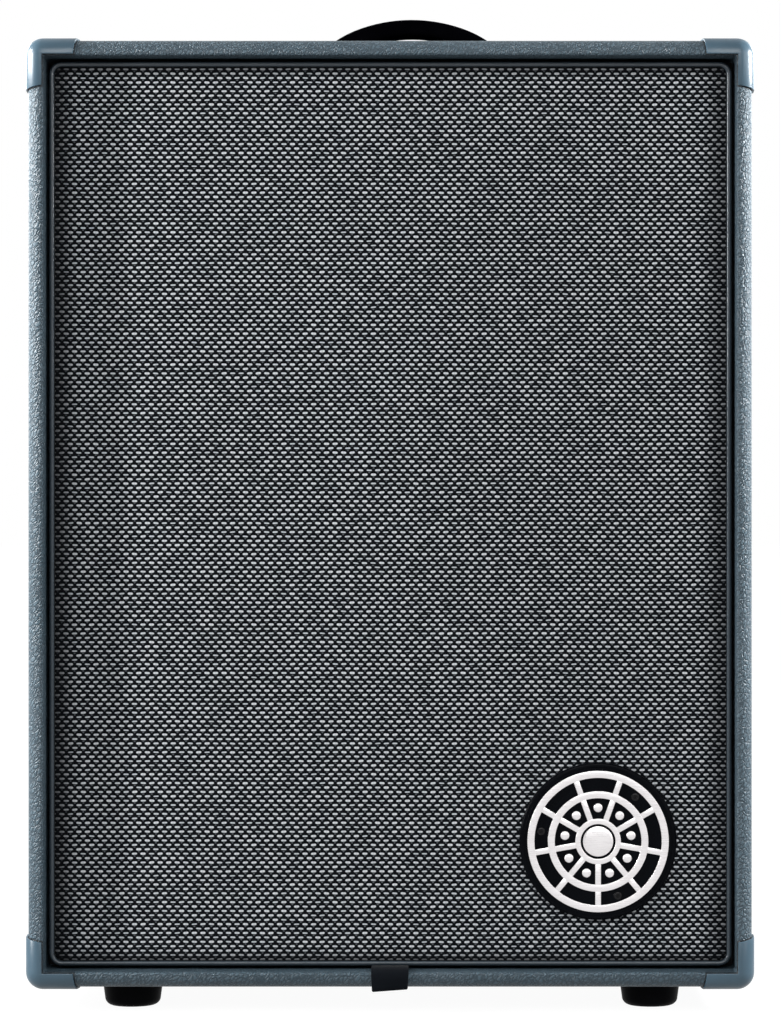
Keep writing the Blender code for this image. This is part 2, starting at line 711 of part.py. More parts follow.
def protector_region():
    """The space round one corner that a protector fills: front, top and right of the cabinet.

    Its origin is the sharp corner of the cabinet's box, and its legs run towards -X, +Y and -Z.
    """
    reach = 2 * PROTECTOR_DIAGONAL
    bm = block_shape((2 * reach, 2 * reach, 2 * reach))
    planes = (
        ((0, 0, -PROTECTOR_LEG), (-PROTECTOR_TAPER, -PROTECTOR_FLARE, -1.0)),
        ((-PROTECTOR_LEG, 0, 0), (-1.0, -PROTECTOR_FLARE, -PROTECTOR_TAPER)),
        ((0, PROTECTOR_DEPTH, 0), (PROTECTOR_TAPER, 1.0, PROTECTOR_TAPER)),
        ((0, PROTECTOR_DIAGONAL, 0), (0.0, 1.0, -1.0)),
        ((0, PROTECTOR_DIAGONAL, 0), (-1.0, 1.0, 0.0)),
    )
    for point, normal in planes:
        everything = list(bm.verts) + list(bm.edges) + list(bm.faces)
        sliced = bmesh.ops.bisect_plane(
            bm, geom=everything, plane_co=point, plane_no=normal, clear_outer=True,
        )
        rim = [item for item in sliced["geom_cut"] if isinstance(item, bmesh.types.BMEdge)]
        bmesh.ops.contextual_create(bm, geom=rim)
    return finished(bm, "protector_region", smooth=False)


def make_protectors():
    """Eight moulded corners: one is shaped, and the others are its mirror images."""
    outer = cabinet_form("protector_outer", GAP + PROTECTOR_THICKNESS)
    pattern = tool("protector_pattern", outer, BODY_CENTRE)
    corner = (CABINET_WIDTH / 2, FRONT, BODY_MIDDLE + CABINET_HEIGHT / 2)
    keep_inside(pattern, tool("protector_region", protector_region(), corner))
    cut(pattern, tool("protector_inner", cabinet_form("protector_inner", GAP), BODY_CENTRE))
    cut(pattern, framed_prism(
        "protector_mouth", PROTECTOR_LIP_COVER, FRONT - LIP_WIDTH, REAR + LIP_WIDTH,
    ))
    shape = baked_mesh(pattern, "protector")
    for y_name, y_sign in (("front", 1), ("rear", -1)):
        for z_name, z_sign in (("top", 1), ("bottom", -1)):
            for x_name, x_sign in (("left", -1), ("right", 1)):
                name = f"corner_protector_{y_name}_{z_name}_{x_name}"
                mesh = shape.copy()
                mesh.transform(Matrix.Diagonal((x_sign, y_sign, z_sign, 1.0)))
                if x_sign * y_sign * z_sign < 0:
                    mesh.flip_normals()
                mesh.shade_smooth()
                mesh.set_sharp_from_angle(angle=math.radians(35.0))
                part(name, mesh, CORNER_PLASTIC, BODY_CENTRE)


def make_feet():
    profile = [(0.0, FOOT_HEIGHT), (FOOT_TOP_RADIUS, FOOT_HEIGHT)]
    centre = (FOOT_BASE_RADIUS - FOOT_EDGE_RADIUS, FOOT_EDGE_RADIUS)
    profile += arc(centre, FOOT_EDGE_RADIUS, 0.0, -90.0, 3)
    profile.append((0.0, 0.0))
    for y_name, y in (("front", -FOOT_Y), ("rear", FOOT_Y)):
        for x_name, x in (("left", -FOOT_X), ("right", FOOT_X)):
            name = f"foot_{y_name}_{x_name}"
            part(name, turned(name, profile, ROUND_STEPS), BLACK_RUBBER, (x, y, 0.0))


# Handle

def strap_end_height():
    """The height of the middle line at the strap's flat ends, above the cabinet."""
    return GAP + CAP_FLOOR + GAP + STRAP_END_THICKNESS / 2


def strap_flare_x():
    """Where the flared part of the strap meets its flat end, from the handle's middle."""
    arch_centre = HANDLE_RISE - STRAP_THICKNESS / 2 - ARCH_RADIUS
    drop = strap_end_height() + ARCH_FLARE_RADIUS - arch_centre
    return math.sqrt((ARCH_RADIUS + ARCH_FLARE_RADIUS) ** 2 - drop ** 2)


def strap_line():
    """Half of the strap's middle line as (x, height, thickness), from the top to the end.

    An arch, a flare the other way round that is tangent to it, and a flat end.
    """
    arch_centre = HANDLE_RISE - STRAP_THICKNESS / 2 - ARCH_RADIUS
    flare_x = strap_flare_x()
    lean = math.degrees(math.asin(flare_x / (ARCH_RADIUS + ARCH_FLARE_RADIUS)))
    flare_centre = (flare_x, strap_end_height() + ARCH_FLARE_RADIUS)
    line = arc((0.0, arch_centre), ARCH_RADIUS, 90.0, 90.0 - lean, 7)
    line += arc(flare_centre, ARCH_FLARE_RADIUS, 270.0 - lean, 270.0, 4)[1:]
    line.append((STRAP_LENGTH / 2, strap_end_height()))
    full_until = flare_x * 0.45
    points = []
    for x, z in line:
        share = min(max((x - full_until) / (flare_x - full_until), 0.0), 1.0)
        ease = share * share * (3 - 2 * share)
        points.append((x, z, STRAP_THICKNESS + (STRAP_END_THICKNESS - STRAP_THICKNESS) * ease))
    return points


def make_handle():
    half = strap_line()
    whole = [(-x, z, t) for x, z, t in reversed(half[1:])] + half
    outline = ribbon_outline([(x, z) for x, z, t in whole], [t for x, z, t in whole])
    mesh = flat_outline("handle_strap", outline, STRAP_WIDTH)
    strap = part("handle_strap", mesh, BLACK_RUBBER, (HANDLE_OFFSET_X, 0.0, BODY_TOP), FRONT_PROFILE)
    bevel = strap.modifiers.new("soft_edges", "BEVEL")
    bevel.width = STRAP_EDGE_RADIUS
    bevel.segments = 2
    bevel.limit_method = "ANGLE"
    bevel.angle_limit = math.radians(60.0)

    cap_height = CAP_FLOOR + STRAP_END_THICKNESS + 2 * GAP + CAP_ROOF
    cap_width = STRAP_WIDTH + 2 * (GAP + CAP_SIDE_WALL)
    cap_outer_x = STRAP_LENGTH / 2 + GAP + CAP_END_WALL
    cap_middle_x = cap_outer_x - CAP_LENGTH / 2
    slot_height = STRAP_END_THICKNESS + 2 * GAP
    slot_reach = CAP_LENGTH
    for name, sign in (("handle_end_cap_left", -1), ("handle_end_cap_right", 1)):
        place = (HANDLE_OFFSET_X + sign * cap_middle_x, 0.0, BODY_TOP + GAP + cap_height / 2)
        shape = soft_block(name, (CAP_LENGTH, cap_width, cap_height), CAP_EDGE_RADIUS)
        cap = part(name, shape, BLACK_PLASTIC, place)
        slot_x = STRAP_LENGTH / 2 + GAP - slot_reach / 2
        slot_size = (slot_reach, STRAP_WIDTH + 2 * GAP, slot_height)
        slot_place = (
            HANDLE_OFFSET_X + sign * slot_x, 0.0, BODY_TOP + GAP + CAP_FLOOR + slot_height / 2,
        )
        cut(cap, tool(name + "_slot", block(name + "_slot", slot_size), slot_place))


# Grille

def rounded_rectangle(width, height, radius, steps):
    """The points of a rounded rectangle about its middle, in order."""
    points = []
    for x_sign, y_sign, start in ((1, 1, 0), (-1, 1, 90), (-1, -1, 180), (1, -1, 270)):
        centre = (x_sign * (width / 2 - radius), y_sign * (height / 2 - radius))
        points += arc(centre, radius, start, start + 90, steps)
    return points


def make_grille_frame():
    size = (GRILLE_WIDTH, FRAME_THICKNESS, GRILLE_HEIGHT)
    middle_y = (FRAME_FRONT + FRAME_BACK) / 2
    mesh = rounded_block("grille_frame", size, 1, GRILLE_CORNER_RADIUS)
    frame = part("grille_frame", mesh, BLACK_PAINT, (0.0, middle_y, BODY_MIDDLE))
    window_width = GRILLE_WIDTH - 2 * FRAME_RAIL
    window_height = (GRILLE_HEIGHT - 3 * FRAME_RAIL) / 2
    window_size = (window_width, 3 * FRAME_THICKNESS, window_height)
    for name, sign in (("upper_window", 1), ("lower_window", -1)):
        place = (0.0, middle_y, BODY_MIDDLE + sign * (window_height + FRAME_RAIL) / 2)
        shape = rounded_block(name, window_size, 1, FRAME_WINDOW_RADIUS, FINE_SEGMENTS)
        cut(frame, tool(name, shape, place))


def make_grille_cloth():
    edge = 2 * (2 * PIPING_RADIUS + GAP)
    size = (GRILLE_WIDTH - edge, CLOTH_THICKNESS, GRILLE_HEIGHT - edge)
    radius = GRILLE_CORNER_RADIUS - edge / 2
    mesh = rounded_block("grille_cloth", size, 1, radius)
    middle_y = (CLOTH_FRONT + CLOTH_BACK) / 2
    part("grille_cloth", mesh, CLOTH, (0.0, middle_y, BODY_MIDDLE))


def make_grille_piping():
    """A round cord that runs all round the grille's front edge."""
    width = GRILLE_WIDTH - 2 * PIPING_RADIUS
    height = GRILLE_HEIGHT - 2 * PIPING_RADIUS
    radius = GRILLE_CORNER_RADIUS - PIPING_RADIUS
    points = rounded_rectangle(width, height, radius, 4)
    curve = bpy.data.curves.new("grille_piping", "CURVE")
    curve.dimensions = "3D"
    curve.bevel_depth = PIPING_RADIUS
    curve.bevel_resolution = 2
    spline = curve.splines.new("POLY")
    spline.points.add(len(points) - 1)
    for point, (x, z) in zip(spline.points, points):
        point.co = (x, 0.0, z, 1.0)
    spline.use_cyclic_u = True
    guide = tool("grille_piping_path", curve)
    mesh = baked_mesh(guide, "grille_piping")
    bpy.data.objects.remove(guide, do_unlink=True)
    mesh.shade_smooth()
    part("grille_piping", mesh, PIPING, (0.0, FRAME_FRONT - GAP - PIPING_RADIUS, BODY_MIDDLE))


def make_badge():
    """A round badge with a plain wheel on it: two rings and a hub joined by spokes."""
    edge_centre = (BADGE_RADIUS - BADGE_EDGE_RADIUS, BADGE_EDGE_RADIUS)
    profile = [(0.0, BADGE_THICKNESS), (BADGE_RADIUS, BADGE_THICKNESS)]
    profile += arc(edge_centre, BADGE_EDGE_RADIUS, 0.0, -90.0, 2)
    profile.append((0.0, 0.0))
    back_y = CLOTH_FRONT - GAP
    front_y = back_y - BADGE_THICKNESS
    shape = turned("grille_badge", profile, WOOFER_STEPS)
    part("grille_badge", shape, BLACK_PLASTIC, (BADGE_X, front_y, BADGE_Z), REARWARD)

    inlay_y = front_y - GAP - INLAY_THICKNESS
    ring = [
        (INLAY_RADIUS - INLAY_RING_WIDTH, 0.0), (INLAY_RADIUS, 0.0),
        (INLAY_RADIUS, INLAY_THICKNESS), (INLAY_RADIUS - INLAY_RING_WIDTH, INLAY_THICKNESS),
    ]
    middle = [
        (INLAY_MIDDLE_RADIUS - INLAY_MIDDLE_WIDTH, 0.0), (INLAY_MIDDLE_RADIUS, 0.0),
        (INLAY_MIDDLE_RADIUS, INLAY_THICKNESS),
        (INLAY_MIDDLE_RADIUS - INLAY_MIDDLE_WIDTH, INLAY_THICKNESS),
    ]
    place = (BADGE_X, inlay_y, BADGE_Z)
    shape = turned("badge_inlay", ring, WOOFER_STEPS, closed=True)
    inlay = part("badge_inlay", shape, SILVER, place, REARWARD)
    middle_shape = turned("inlay_middle_ring", middle, WOOFER_STEPS, closed=True)
    hub_shape = cylinder("inlay_hub", INLAY_HUB_RADIUS, INLAY_THICKNESS, ROUND_STEPS)
    spokes = bmesh.new()
    spoke_start = INLAY_HUB_RADIUS / 2
    spoke_end = INLAY_RADIUS - INLAY_RING_WIDTH / 2
    for index in range(INLAY_SPOKES):
        spoke = bmesh.ops.create_cube(spokes, size=1.0)["verts"]
        size = Vector((spoke_end - spoke_start, INLAY_SPOKE_WIDTH, INLAY_THICKNESS / 2))
        bmesh.ops.scale(spokes, vec=size, verts=spoke)
        middle = ((spoke_start + spoke_end) / 2, 0.0, INLAY_THICKNESS / 2)
        bmesh.ops.translate(spokes, vec=middle, verts=spoke)
        turn = Matrix.Rotation(2 * math.pi * (index / INLAY_SPOKES + 0.25), 3, "Z")
        bmesh.ops.rotate(spokes, cent=(0.0, 0.0, 0.0), matrix=turn, verts=spoke)
    hub_y = inlay_y + INLAY_THICKNESS / 2
    join(
        inlay,
        tool("inlay_middle_ring", middle_shape, place, REARWARD),
        tool("inlay_hub", hub_shape, (BADGE_X, hub_y, BADGE_Z), REARWARD),
        tool("inlay_spokes", finished(spokes, "inlay_spokes", smooth=False), place, REARWARD),
    )


def make_pull_tab():
    """A webbing loop: pressed flat under the grille, it runs forward and hangs over the lip."""
    layer = TAB_THICKNESS / 2
    wall_z = BODY_BOTTOM + LIP_WIDTH
    flat_z = wall_z + GRILLE_CLEARANCE / 2
    run_z = wall_z + 2 * GAP + layer
    hang_y = FRONT - TAB_FRONT_GAP - layer
    flat_end = FRAME_FRONT - 2 * PIPING_RADIUS - 2 * GAP
    bend_centre = (hang_y + TAB_BEND_RADIUS, run_z - TAB_BEND_RADIUS)
    points = [(FRAME_BACK, flat_z), (flat_end, flat_z), (flat_end - TAB_THICKNESS, run_z)]
    thicknesses = [TAB_FLAT_THICKNESS, TAB_FLAT_THICKNESS, TAB_THICKNESS]
    points += arc(bend_centre, TAB_BEND_RADIUS, 90.0, 180.0, 4)
    points.append((hang_y, BODY_BOTTOM - TAB_DROP))
    thicknesses += [TAB_THICKNESS] * (len(points) - len(thicknesses))
    mesh = flat_outline("pull_tab", ribbon_outline(points, thicknesses), TAB_WIDTH)
    part("pull_tab", mesh, WEBBING, (0.0, 0.0, 0.0), SIDE_PROFILE)


def make_fastening_strips():
    """Hook-and-loop strips that hold the grille's top and bottom rails to the baffle."""
    size = (STRIP_LENGTH, STRIP_THICKNESS, STRIP_WIDTH)
    for name, sign in (("fastening_strip_top", 1), ("fastening_strip_bottom", -1)):
        place = (0.0, STRIP_FRONT + STRIP_THICKNESS / 2, BODY_MIDDLE + sign * STRIP_OFFSET)
        part(name, soft_block(name, size, RUNNING_GAP, 1), WEBBING, place)


# Woofers, horn and port

def woofer_ledge():
    """The depth of the ledge that carries the surround, behind the baffle's front."""
    return -GAP - WOOFER_FLANGE_THICKNESS + WOOFER_LEDGE_DROP


def rim_line():
    """The depth of the middle of the surround's flat lips."""
    return woofer_ledge() - GAP - SURROUND_THICKNESS / 2


def make_basket(prefix, place):
    flange_front = -GAP - WOOFER_FLANGE_THICKNESS
    ledge = woofer_ledge()
    wall = WOOFER_WALL
    back = WOOFER_BACK_DEPTH
    shoulder = BAFFLE_THICKNESS
    coil_hole = COIL_RADIUS + 2 * COIL_GROOVE_CLEARANCE
    seat = WOOFER_BODY_RADIUS - wall
    profile = [
        (WOOFER_BACK_RADIUS, back), (WOOFER_BACK_RADIUS, back - 2 * wall),
        (WOOFER_BODY_RADIUS, shoulder), (WOOFER_BODY_RADIUS, -GAP),
        (WOOFER_FLANGE_RADIUS, -GAP), (WOOFER_FLANGE_RADIUS, flange_front),
        (seat, flange_front), (seat, ledge), (WOOFER_LEDGE_RADIUS, ledge),
        (WOOFER_LEDGE_RADIUS, ledge + wall), (seat, ledge + 2 * wall),
        (seat, shoulder - wall / 2), (WOOFER_BACK_RADIUS - wall, back - 3 * wall),
        (WOOFER_BACK_RADIUS - wall, back - wall), (coil_hole, back - wall), (coil_hole, back),
    ]
    name = prefix + "_basket"
    basket = part(name, turned(name, profile, WOOFER_STEPS, closed=True), BLACK_METAL, place, REARWARD)
    windows = bmesh.new()
    window_start = shoulder + 2 * wall
    window_end = back - 4 * wall
    for index in range(WOOFER_WINDOWS):
        window = bmesh.ops.create_cube(windows, size=1.0)["verts"]
        reach = WOOFER_FLANGE_RADIUS - WOOFER_BACK_RADIUS + wall
        size = Vector((reach, WOOFER_WINDOW_WIDTH, window_end - window_start))
        bmesh.ops.scale(windows, vec=size, verts=window)
        middle = (WOOFER_BACK_RADIUS - wall / 2 + reach / 2, 0.0, (window_start + window_end) / 2)
        bmesh.ops.translate(windows, vec=middle, verts=window)
        turn = Matrix.Rotation(2 * math.pi * (index + 0.5) / WOOFER_WINDOWS, 3, "Z")
        bmesh.ops.rotate(windows, cent=(0.0, 0.0, 0.0), matrix=turn, verts=window)
    cut(basket, tool(name + "_windows", finished(windows, name + "_windows", smooth=False), place, REARWARD))


def coil_end():
    """The depth of the voice coil's far end behind the baffle's front."""
    return rim_line() + CONE_DEPTH + COIL_LENGTH


def make_magnet(prefix, place):
    front = WOOFER_BACK_DEPTH + GAP
    rear = front + MAGNET_LENGTH
    groove = coil_end() + CONE_TRAVEL + RUNNING_GAP
    outer = COIL_RADIUS + COIL_GROOVE_CLEARANCE
    inner = COIL_RADIUS - COIL_WALL - COIL_GROOVE_CLEARANCE
    profile = [
        (0.0, rear), (MAGNET_RADIUS - MAGNET_CHAMFER, rear), (MAGNET_RADIUS, rear - MAGNET_CHAMFER),
        (MAGNET_RADIUS, front), (outer, front), (outer, groove), (inner, groove), (inner, front),
        (0.0, front),
    ]
    name = prefix + "_magnet"
    part(name, turned(name, profile, ROUND_STEPS), STEEL, place, REARWARD)


def make_cone(prefix, place):
    """A cone with its rim, dust cap and voice coil, turned in one piece."""
    rim_front = rim_line() + SURROUND_THICKNESS / 2 + GAP
    rim_back = rim_front + CONE_THICKNESS
    bottom = rim_front + CONE_DEPTH
    slope = CONE_DEPTH / (CONE_RADIUS - CONE_RIM - COIL_RADIUS)
    cap_edge = bottom - (DUST_CAP_RADIUS - COIL_RADIUS) * slope
    coil_inner = COIL_RADIUS - COIL_WALL
    cap_top = cap_edge - DUST_CAP_RISE
    cap_sphere = (DUST_CAP_RADIUS ** 2 + DUST_CAP_RISE ** 2) / (2 * DUST_CAP_RISE)
    cap_steps = 4
    cap_front = []
    for step in range(cap_steps + 1):
        radius = DUST_CAP_RADIUS * (1 - step / cap_steps)
        sag = cap_sphere - math.sqrt(cap_sphere ** 2 - radius ** 2)
        cap_front.append((radius, cap_top + sag))
    inner_sag = cap_sphere - math.sqrt(cap_sphere ** 2 - coil_inner ** 2)
    back_drop = CONE_THICKNESS * math.sqrt(1 + slope ** 2)
    profile = [
        (CONE_RADIUS, rim_front), (CONE_RADIUS - CONE_RIM, rim_front),
        *cap_front,
        (0.0, cap_top + CONE_THICKNESS), (coil_inner, cap_top + inner_sag + CONE_THICKNESS),
        (coil_inner, coil_end()), (COIL_RADIUS, coil_end()),
        (COIL_RADIUS, bottom + back_drop),
        (CONE_RADIUS - CONE_RIM, rim_front + back_drop), (CONE_RADIUS, rim_back),
    ]
    name = prefix + "_cone"
    start = profile.index((0.0, cap_top + CONE_THICKNESS))
    ordered = profile[start:] + profile[:start]
    part(name, turned(name, ordered, WOOFER_STEPS), CONE_PAPER, place, REARWARD)


def make_surround(prefix, place):
    """A half roll between the cone's rim and the basket's ledge."""
    inner = CONE_RADIUS
    outer = WOOFER_LEDGE_RADIUS
    roll = (outer - inner) / 2
    level = rim_line()
    line = [(inner - CONE_RIM, level)]
    line += arc(((inner + outer) / 2, level), roll, 180.0, 360.0, 5)
    line.append((outer + SURROUND_LIP, level))
    outline = ribbon_outline(line, [SURROUND_THICKNESS] * len(line))
    name = prefix + "_surround"
    part(name, turned(name, outline, WOOFER_STEPS, closed=True), BLACK_RUBBER, place, REARWARD)


def make_woofers():
    for prefix, sign in (("upper_woofer", 1), ("lower_woofer", -1)):
        place = (WOOFER_X, BAFFLE_FRONT, BODY_MIDDLE + sign * WOOFER_SPACING / 2)
        make_basket(prefix, place)
        make_magnet(prefix, place)
        make_cone(prefix, place)
        make_surround(prefix, place)


def horn_radius(share):
    """The flare's radius, from the mouth at 0 to the throat at 1."""
    return HORN_MOUTH_RADIUS * (HORN_THROAT_RADIUS / HORN_MOUTH_RADIUS) ** (share ** 0.6)


def make_horn():
    place = (COLUMN_X, BAFFLE_FRONT, BODY_MIDDLE + HORN_RISE)
    front = -GAP - HORN_FLANGE_THICKNESS
    steps = 4
    inner = []
    outer = []
    for step in range(steps + 1):
        share = step / steps
        depth = front + HORN_LENGTH * share
        inner.append((horn_radius(share), depth))
        outer.append((horn_radius(share) + HORN_WALL, depth))
    throat = front + HORN_LENGTH
    flange_front = throat - HORN_BACK_FLANGE_THICKNESS
    back_flange = [(HORN_BACK_FLANGE_RADIUS, flange_front), (HORN_BACK_FLANGE_RADIUS, throat)]
    outer_at_flange = horn_radius(1 - HORN_BACK_FLANGE_THICKNESS / HORN_LENGTH) + HORN_WALL
    profile = outer[:-1] + [(outer_at_flange, flange_front)] + back_flange + inner[::-1]
    name = "tweeter_horn"
    horn = part(name, turned(name, profile, ROUND_STEPS, closed=True), BLACK_PLASTIC, place, REARWARD)
    size = (HORN_FLANGE_SIZE, HORN_FLANGE_THICKNESS, HORN_FLANGE_SIZE)
    flange_place = (COLUMN_X, BAFFLE_FRONT - GAP - HORN_FLANGE_THICKNESS / 2, place[2])
    flange = tool("horn_flange", rounded_block("horn_flange", size, 1, HORN_FLANGE_CORNER), flange_place)
    mouth_radius = HORN_MOUTH_RADIUS + HORN_WALL / 2
    mouth = cylinder("horn_mouth", mouth_radius, 3 * HORN_FLANGE_THICKNESS, ROUND_STEPS)
    cut(flange, tool("horn_mouth", mouth, flange_place, REARWARD))
    join(horn, flange)

    front = throat + GAP
    rear = front + DRIVER_LENGTH
    profile = [
        (0.0, rear), (DRIVER_RADIUS - DRIVER_CHAMFER, rear), (DRIVER_RADIUS, rear - DRIVER_CHAMFER),
        (DRIVER_RADIUS, front), (HORN_THROAT_RADIUS, front),
        (HORN_THROAT_RADIUS, front + DRIVER_CHAMFER), (0.0, front + DRIVER_CHAMFER),
    ]
    name = "tweeter_driver"
    part(name, turned(name, profile, ROUND_STEPS), BLACK_METAL, place, REARWARD)


def make_port():
    outer = PORT_RADIUS + PORT_WALL
    front = -GAP - PORT_FLANGE_THICKNESS
    flare_centre = (PORT_RADIUS + PORT_FLARE_RADIUS, front + PORT_FLARE_RADIUS)
    profile = [
        (PORT_RADIUS, PORT_LENGTH), (outer, PORT_LENGTH), (outer, -GAP),
        (PORT_FLANGE_RADIUS, -GAP), (PORT_FLANGE_RADIUS, front),
    ]
    profile += arc(flare_centre, PORT_FLARE_RADIUS, 270.0, 180.0, 3)
    place = (PORT_X, BAFFLE_FRONT, BODY_MIDDLE - PORT_DROP)
    shape = turned("port_tube", profile, ROUND_STEPS, closed=True)
    part("port_tube", shape, BLACK_PLASTIC, place, REARWARD)


def make_crossover():
    """A small filter board on the cabinet's floor, with a coil and two capacitors."""
    floor = BODY_BOTTOM + INNER_INSET + GAP
    board_z = floor + CROSSOVER_STANDOFF + CROSSOVER_THICKNESS / 2
    top = board_z + CROSSOVER_THICKNESS / 2
    size = (CROSSOVER_LENGTH, CROSSOVER_WIDTH, CROSSOVER_THICKNESS)
    place = (CROSSOVER_X, CROSSOVER_Y, board_z)
    board = part("crossover_board", block("crossover_board", size), CIRCUIT, place)
    overlap = CROSSOVER_THICKNESS / 2
    foot_size = (CROSSOVER_STANDOFF, CROSSOVER_WIDTH, CROSSOVER_STANDOFF + overlap)
    foot_z = floor + (CROSSOVER_STANDOFF + overlap) / 2
    reach = CROSSOVER_LENGTH / 2 - CROSSOVER_STANDOFF
    for name, sign in (("crossover_foot_left", -1), ("crossover_foot_right", 1)):
        place = (CROSSOVER_X + sign * reach, CROSSOVER_Y, foot_z)
        join(board, tool(name, block(name, foot_size), place))
    coil_height = INDUCTOR_HEIGHT + overlap
    coil_place = (CROSSOVER_X - CROSSOVER_LENGTH / 4, CROSSOVER_Y, top - overlap + coil_height / 2)
    join(board, tool("crossover_coil", cylinder("crossover_coil", INDUCTOR_RADIUS, coil_height), coil_place))
    spacing = CROSSOVER_WIDTH / 4
    for name, sign in (("crossover_capacitor_front", -1), ("crossover_capacitor_rear", 1)):
        mesh = cylinder(name, CAPACITOR_RADIUS, CAPACITOR_LENGTH)
        side = CROSSOVER_X + CROSSOVER_LENGTH / 4
        place = (side, CROSSOVER_Y + sign * spacing, top + CAPACITOR_RADIUS * 0.8)
        join(board, tool(name, mesh, place, (0.0, math.pi / 2, 0.0)))


# Amplifier

def make_chassis():
    size = (CHASSIS_WIDTH, CHASSIS_DEPTH, CHASSIS_HEIGHT)
    middle_y = BACK_OUTER - CHASSIS_DEPTH / 2
    chassis = part("amp_chassis", block("amp_chassis", size), STEEL, (0.0, middle_y, AMP_MIDDLE))
    wall = CHASSIS_WALL
    hollow_size = (CHASSIS_WIDTH - 2 * wall, CHASSIS_DEPTH, CHASSIS_HEIGHT - 2 * wall)
    hollow_place = (0.0, middle_y + wall, AMP_MIDDLE)
    cut(chassis, tool("chassis_hollow", block("chassis_hollow", hollow_size), hollow_place))


def knob_places():
    return [(name, FIRST_KNOB_X - index * KNOB_PITCH) for index, name in enumerate(KNOB_NAMES)]


def panel_hole(plate, name, mesh, x, z, rotation=UPWARD):
    middle_y = (PLATE_BACK + PLATE_FRONT) / 2
    cut(plate, tool(name, mesh, (x, middle_y, z), rotation))


def make_control_panel():
    size = (
        CHASSIS_WIDTH + 2 * PLATE_OVERLAP, PLATE_THICKNESS, CHASSIS_HEIGHT + 2 * PLATE_OVERLAP,
    )
    mesh = rounded_block("control_panel", size, 1, PLATE_CORNER_RADIUS, FINE_SEGMENTS)
    middle_y = (PLATE_BACK + PLATE_FRONT) / 2
    plate = part("control_panel", mesh, BLACK_METAL, (0.0, middle_y, AMP_MIDDLE))
    through = 4 * PLATE_THICKNESS
    for name, x in knob_places():
        mesh = cylinder(name + "_hole", hole_radius(SHAFT_RADIUS, SMALL_STEPS, RUNNING_GAP), through)
        panel_hole(plate, name + "_hole", mesh, x, UPPER_Z, REARWARD)
    side = BUTTON_SIZE + 2 * RUNNING_GAP
    panel_hole(plate, "button_hole", block("button_hole", (side, through, side)), BUTTON_X, UPPER_Z)
    mesh = cylinder("jack_hole", hole_radius(JACK_NECK_RADIUS, SMALL_STEPS), through)
    panel_hole(plate, "jack_hole", mesh, JACK_X, UPPER_Z, REARWARD)
    for name, x in (("di_hole", DI_X), ("speaker_out_hole", SPEAKER_OUT_X)):
        mesh = cylinder(name, hole_radius(SOCKET_BODY_RADIUS, ROUND_STEPS), through, ROUND_STEPS)
        panel_hole(plate, name, mesh, x, LOWER_Z, REARWARD)
    inlet_size = (
        INLET_FLANGE_WIDTH - 2 * INLET_FLANGE_MARGIN + 2 * GAP, through,
        INLET_FLANGE_HEIGHT - 2 * INLET_FLANGE_MARGIN + 2 * GAP,
    )
    panel_hole(plate, "inlet_hole", block("inlet_hole", inlet_size), INLET_X, LOWER_Z)
    pitch = 2 * FAN_BORE_RADIUS / (VENT_SLOTS + 1)
    for index in range(VENT_SLOTS):
        offset = (index - (VENT_SLOTS - 1) / 2) * pitch
        half_chord = math.sqrt(FAN_BORE_RADIUS ** 2 - offset ** 2) * 0.9
        name = f"vent_slot_{index + 1}"
        slot = rounded_block(name, (2 * half_chord, through, VENT_SLOT_WIDTH), 1, VENT_SLOT_WIDTH * 0.4, 1)
        panel_hole(plate, name, slot, FAN_X, LOWER_Z + offset)


def make_knobs():
    """A turned knob with a pointer groove and the shaft that carries it, for each control."""
    shoulder = KNOB_SKIRT
    top = KNOB_LIFT + KNOB_HEIGHT
    edge_centre = (KNOB_TOP_RADIUS - KNOB_EDGE_RADIUS, top - KNOB_EDGE_RADIUS)
    profile = [(0.0, top)]
    profile += arc(edge_centre, KNOB_EDGE_RADIUS, 90.0, 0.0, 2)
    profile += [
        (KNOB_TOP_RADIUS, KNOB_LIFT + shoulder), (KNOB_RADIUS, KNOB_LIFT + shoulder / 2),
        (KNOB_RADIUS, KNOB_LIFT), (SHAFT_RADIUS, KNOB_LIFT),
        (SHAFT_RADIUS, -PLATE_THICKNESS - SHAFT_REACH), (0.0, -PLATE_THICKNESS - SHAFT_REACH),
    ]
    for name, x in knob_places():
        place = (x, PLATE_FRONT, UPPER_Z)
        knob = part(name, turned(name, profile, SMALL_STEPS), BLACK_PLASTIC, place, REARWARD)
        size = (KNOB_POINTER_WIDTH, 2 * KNOB_POINTER_DEPTH, KNOB_RADIUS)
        groove_place = (x, PLATE_FRONT + top, UPPER_Z + KNOB_RADIUS / 2 + KNOB_POINTER_WIDTH)
        cut(knob, tool(name + "_groove", block(name + "_groove", size), groove_place))


